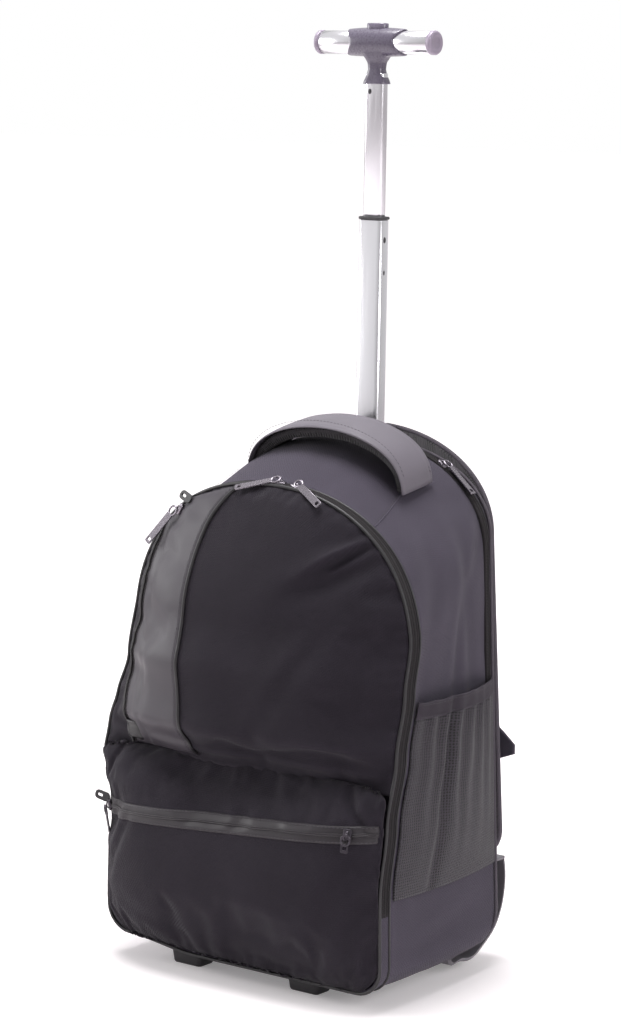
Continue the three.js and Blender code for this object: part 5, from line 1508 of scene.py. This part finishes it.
# Back panel
# Spacer mesh over foam: two long pads beside an air channel and a low pad across the hips, bound
# all round. The trolley pole runs behind it.

PANEL_BACK = dict(BACK, bottom=106, top=508)
PANEL_FRONT_Y = BACK_Y + 0.3


def pad_height(x, z, edge):
    channel = abs(abs(x) - 20)
    hip = abs(z - 226) if abs(x) > 20 else 99
    near = min(edge, channel, hip)
    full = 8.0 if abs(x) > 20 else 3.0
    over_pole = 3.0 * ease((25 - abs(x)) / 4)
    return 4.0 + over_pole + full * (1 - math.exp(-((near / 11) ** 1.6)))


BACK_RINGS, BACK_AROUND = 60, 240
middle_z = (PANEL_BACK["top"] + PANEL_BACK["bottom"]) / 2
rows = []
for j in range(BACK_RINGS + 1):
    share = mix(0.004, 1, j / BACK_RINGS)
    row = []
    for i in range(BACK_AROUND):
        x, z = outline(PANEL_BACK, i / BACK_AROUND)
        edge = math.hypot(x, z - middle_z) * (1 - share)
        x, z = x * share, middle_z + (z - middle_z) * share
        row.append((x,
                    PANEL_FRONT_Y + pad_height(x, z, edge) + 0.5 * waves(x, 0, z, 40, 41.0) * min(1,
                            edge / 10), z))
    rows.append(row)
rim_row = [(x, PANEL_FRONT_Y, z) for x, y, z in rows[-1]]
rows.append(rim_row)
back_pad = close_ends(skin(rows, round_it=True))
back_pad = piece("back_pad", back_pad, spacer_mesh, ["back_panel"])
carve(back_pad, *POLE_NOTCH)
line, outs = [], []
for k in range(300):
    w = k / 300
    x, z = outline(PANEL_BACK, w)
    ahead = Vector(outline(PANEL_BACK, min(1, w + 0.002))) - Vector(outline(PANEL_BACK, max(0, w - 0.002)))
    line.append((x, PANEL_FRONT_Y + 2.4, z))
    outs.append((ahead.y, 0, -ahead.x))
bound = piece("back_pad_binding", run(line, outs, round_section(2.6, 10), loop=True), binding)
carve(bound, *POLE_NOTCH)


# Shoulder straps
# Curved foam straps under woven cloth with bound edges and a webbing ladder. Each ends in a
# ladder lock, from which webbing runs to a tab in the side seam.

STRAP = dict(y=113.1, thickness=10, width=62, top=452, end=236, x=58, swing=40)
webbing_weave = woven("polyamide_webbing", "#37333a", 2.2, 0.6, 0.1)

for way, side in ((1, "right"), (-1, "left")):
    def strap_point(t):
        x = STRAP["x"] + STRAP["swing"] * (1 - math.cos(math.pi * t)) / 2
        return way * x, mix(STRAP["top"], STRAP["end"], t)

    line, outs = [], []
    for k in range(61):
        x, z = strap_point(k / 60)
        line.append((x, STRAP["y"], z))
        outs.append((0, 1, 0))

    def strap_shape(t):
        half = STRAP["width"] / 2 * mix(1, 0.72, t) * min(1, (0.02 + min(t, 1 - t)) / 0.035) ** 0.3
        shape = []
        for k in range(33):
            s = mix(-1, 1, k / 32)
            shape.append((half * s, 2.2 + (STRAP["thickness"] - 2.2) * (1 - abs(s) ** 4) ** 0.6))
        for k in range(33):
            s = mix(1, -1, k / 32)
            shape.append((half * s, 1.2 * abs(s) ** 4 + 0.2))
        return shape

    pad = run(line, outs, strap_shape)
    ripple(pad, lambda x, y, z, normal: 0.4 * waves(x, y, z, 24, 43.0) if normal.y > 0.2 else 0)
    piece(f"strap_pad_{side}", pad, side_cloth, [f"shoulder_strap_{side}"])
    web_line = [Vector(p) + Vector((0, STRAP["thickness"] + 0.1, 0)) for p in line[3:-2]]
    for row, point in enumerate(web_line):
        point.y += 0.9 * abs(math.sin(row / 7 * math.pi))
    web = run(web_line, outs[3:-2], [(-9, 0), (-9, 1.2), (9, 1.2), (9, 0)])
    piece(f"strap_ladder_{side}", web, webbing_weave)
    tail = [(98, 212), (98, 200), (101, 192), (112, 193), (126, 195), (137, 196)]
    tail_line = [(way * x, STRAP["y"] + 1.4, z) for x, z in spaced(tail, 40)]
    tail_cloth = run(tail_line, [(0, 1, 0)] * 41, [(-12.5, -0.8), (-12.5, 0.8), (12.5, 0.8), (12.5, -0.8)])
    piece(f"strap_tail_{side}", tail_cloth, webbing_weave, [f"strap_webbing_{side}"])
    tab_rows = []
    for j in range(13):
        v = j / 12
        z0, z1 = mix(193, 205, v), mix(238, 214, v)
        tab_rows.append([(way * mix(133, 164, v), STRAP["y"] + 1.6 + 1.2 * math.sin(math.pi * v),
                          mix(z0, z1, i / 12))
                         for i in range(13)])
    tab = thicken(piece(f"side_tab_{side}", skin(tab_rows, facing=(0, 1, 0)), side_cloth,
                        [f"strap_anchor_{side}"]), 2.0)


# Zip pulls
# Cast sliders with a bridge, an open oval ring and a flat plate with a slot in its free end, all
# in polished gunmetal. The two shorter zips also end in a folded cloth loop.

# Blackened zinc of the pocket's two small pulls
black_zinc = metal("blackened_zinc", "#4a464c", 0.34, 0.06, (1, 1, 1))
# Plated zinc: gives the eye small bright glints
gunmetal = metal("plated_zinc", "#8e8890", 0.26, 0.06, (1, 1, 1))
for name in ("axle_right", "axle_left"):
    bpy.data.objects[name].data.materials[0] = steel
for name in ("strap_lock_right", "strap_lock_left"):
    bpy.data.objects[name].data.materials[0] = black_nylon

SLIDER = dict(length=11, width=8, height=4)
RING = dict(radius=4.5, wire=1.0)


def arch_top(x, depth, grow=0.0):
    """The point and normal of the front arch at X, a given depth behind its seam."""
    z = arch_height(x, 0)
    slope = (arch_height(x + 1, 0) - arch_height(x - 1, 0)) / 2
    return Vector((x, seam_y(z) + depth, z + grow)), Vector((-slope, 0, 1)).normalized()


def flat_mesh(shape, low, high, hole=None):
    """A flat plate of a closed shape, pierced by a hole of the same number of points."""
    if hole is None:
        rows = [[(x * 0.96, y * 0.94, low) for x, y in shape], [(x, y, low + 0.25) for x, y in shape],
                [(x, y, high - 0.25) for x, y in shape], [(x * 0.96, y * 0.94, high) for x, y in shape]]
        return close_ends(skin(rows, round_it=True))
    rows = [[(x, y, high) for x, y in shape], [(x, y, high) for x, y in hole],
            [(x, y, low) for x, y in hole],
            [(x, y, low) for x, y in shape]]
    return skin(rows, round_it=True, loop=True)


def laid(mesh, point, normal, pull):
    """Moves a mesh that was made flat at the origin onto the bag."""
    out = Vector(normal).normalized()
    ahead = Vector(pull)
    ahead = (ahead - out * ahead.dot(out)).normalized()
    matrix = Matrix((ahead, out.cross(ahead), out)).transposed().to_4x4()
    bmesh.ops.transform(mesh, matrix=Matrix.Translation(at(*point)) @ matrix @ Matrix.Translation(-origin),
                        verts=mesh.verts)
    return mesh


def slider_mesh():
    length, width = SLIDER["length"], SLIDER["width"]
    shell = flat_mesh(rounded(length, width, 2.6), -0.5, 2.4)
    bridge = [(length * 0.3 * math.cos(a), 0, 2.0 + 2.0 * math.sin(a)) for a in
              [math.pi * k / 12 for k in range(13)]]
    outs = [(math.cos(math.pi * k / 12), 0, math.sin(math.pi * k / 12)) for k in range(13)]
    return joined([shell, run(bridge, outs, rounded(2.2, 1.0, 0.4, 2))])


def puller_mesh(length, width):
    thick, radius = 1.6, RING["radius"]
    plate_length = length - 2 * radius
    middle = 2 * radius + plate_length / 2 - RING["wire"]
    plate = [(middle + x, y) for x, y in rounded(plate_length, width, 1.4)]
    hole_at = middle + plate_length / 2 - 4.2
    hole = [(hole_at + x, y) for x, y in rounded(3.4, width - 3.2, 0.5)]
    count = 40
    ring = [(radius + radius * 1.05 * math.cos(a), radius * 0.9 * math.sin(a), thick / 2)
            for a in [2 * math.pi * k / count for k in range(count)]]
    wire = run(ring, [(0, 0, 1)] * count, round_section(RING["wire"], 10), loop=True)
    return joined([flat_mesh(plate, 0, thick, hole), wire])


def cast_points(tree, x, z):
    point, normal = pressed(tree, x, z, 0)
    flat = Vector((normal.x, normal.y, normal.z * 0.9)).normalized()
    return point, flat


main_points, _ = main_zip_line(MAIN_BAND / 2, 0, 0.30, 0.5)
main_point = Vector(min(main_points, key=lambda p: abs(p[0] - 90)))
PULLS = [
    # name, place and normal, the way it hangs, the normal of the plate, length, width, metal
    ("front_zip_left", arch_top(10, 5.5), (-1, -0.33, -0.38), (0, -0.55, 0.85), 46, 7, gunmetal),
    ("front_zip_right", arch_top(28, 5.5), (1, -0.41, -0.44), (-0.02, -0.75, 0.65), 46, 7, gunmetal),
    ("main_zip", (main_point, Vector((0.62, 0, 0.78))), (1, -0.1, -0.75), None, 46, 7, gunmetal),
    ("band_zip", cast_points(panel_skin, -0.6 * HALF, 0.93 * 464), (-0.75, -0.3, -1), (0, -1, 0.3), 46, 7,
     gunmetal),
    ("pocket_zip_right", cast_points(pocket_skin, 0.84 * HALF, TAPE_RIGHT - 1), (-0.1, 0, -1), None, 17, 7,
     black_zinc),
    ("pocket_zip_left", cast_points(pocket_skin, -149, TAPE_LEFT + 1), (0, 0, -1), None, 30, 5, black_zinc),
]
for name, (point, normal), pull, rest, length, width, cast in PULLS:
    seat = point + normal * 1.2
    slider = laid(slider_mesh(), seat, normal, pull)
    piece(f"cast_slider_{name}", slider, cast, [f"slider_{name}"])
    start = point + normal * (SLIDER["height"] + 2)
    plate = laid(puller_mesh(length, width), start, rest or normal, pull)
    soften(piece(f"cast_puller_{name}", plate, cast, [f"puller_{name}"]), 0.3)

LOOP = dict(length=17, width=9, thickness=2)
leaf = [(LOOP["length"] / 2 + x, y) for x, y in rounded(LOOP["length"], LOOP["width"], 4)]
eye = [(LOOP["length"] * 0.65 + x, y) for x, y in rounded(6, 2.7, 1.2)]
LOOPS = [
    # name, surface, place in X and Z, the way it points, normal, lift
    ("band_zip", panel_skin, -0.52 * HALF, 0.95 * 464, (-1, 0.1, 0.4), (-0.1, -0.9, 0.4), 1.8),
    ("pocket_zip", pocket_skin, -151, TAPE_LEFT + 6, (-1, 0, 0.2), (0.1, -1, 0.1), 2.5),
]
for name, tree, x, z, pull, rest, lift in LOOPS:
    point, _ = pressed(tree, x, z, 0, fallback=-110)
    mesh = laid(flat_mesh(leaf, 0, LOOP["thickness"], eye), point + Vector(rest).normalized() * lift, rest,
                pull)
    loop = soften(piece(f"cloth_loop_{name}", mesh, piping_tape, [f"loop_{name}"]), 0.5)
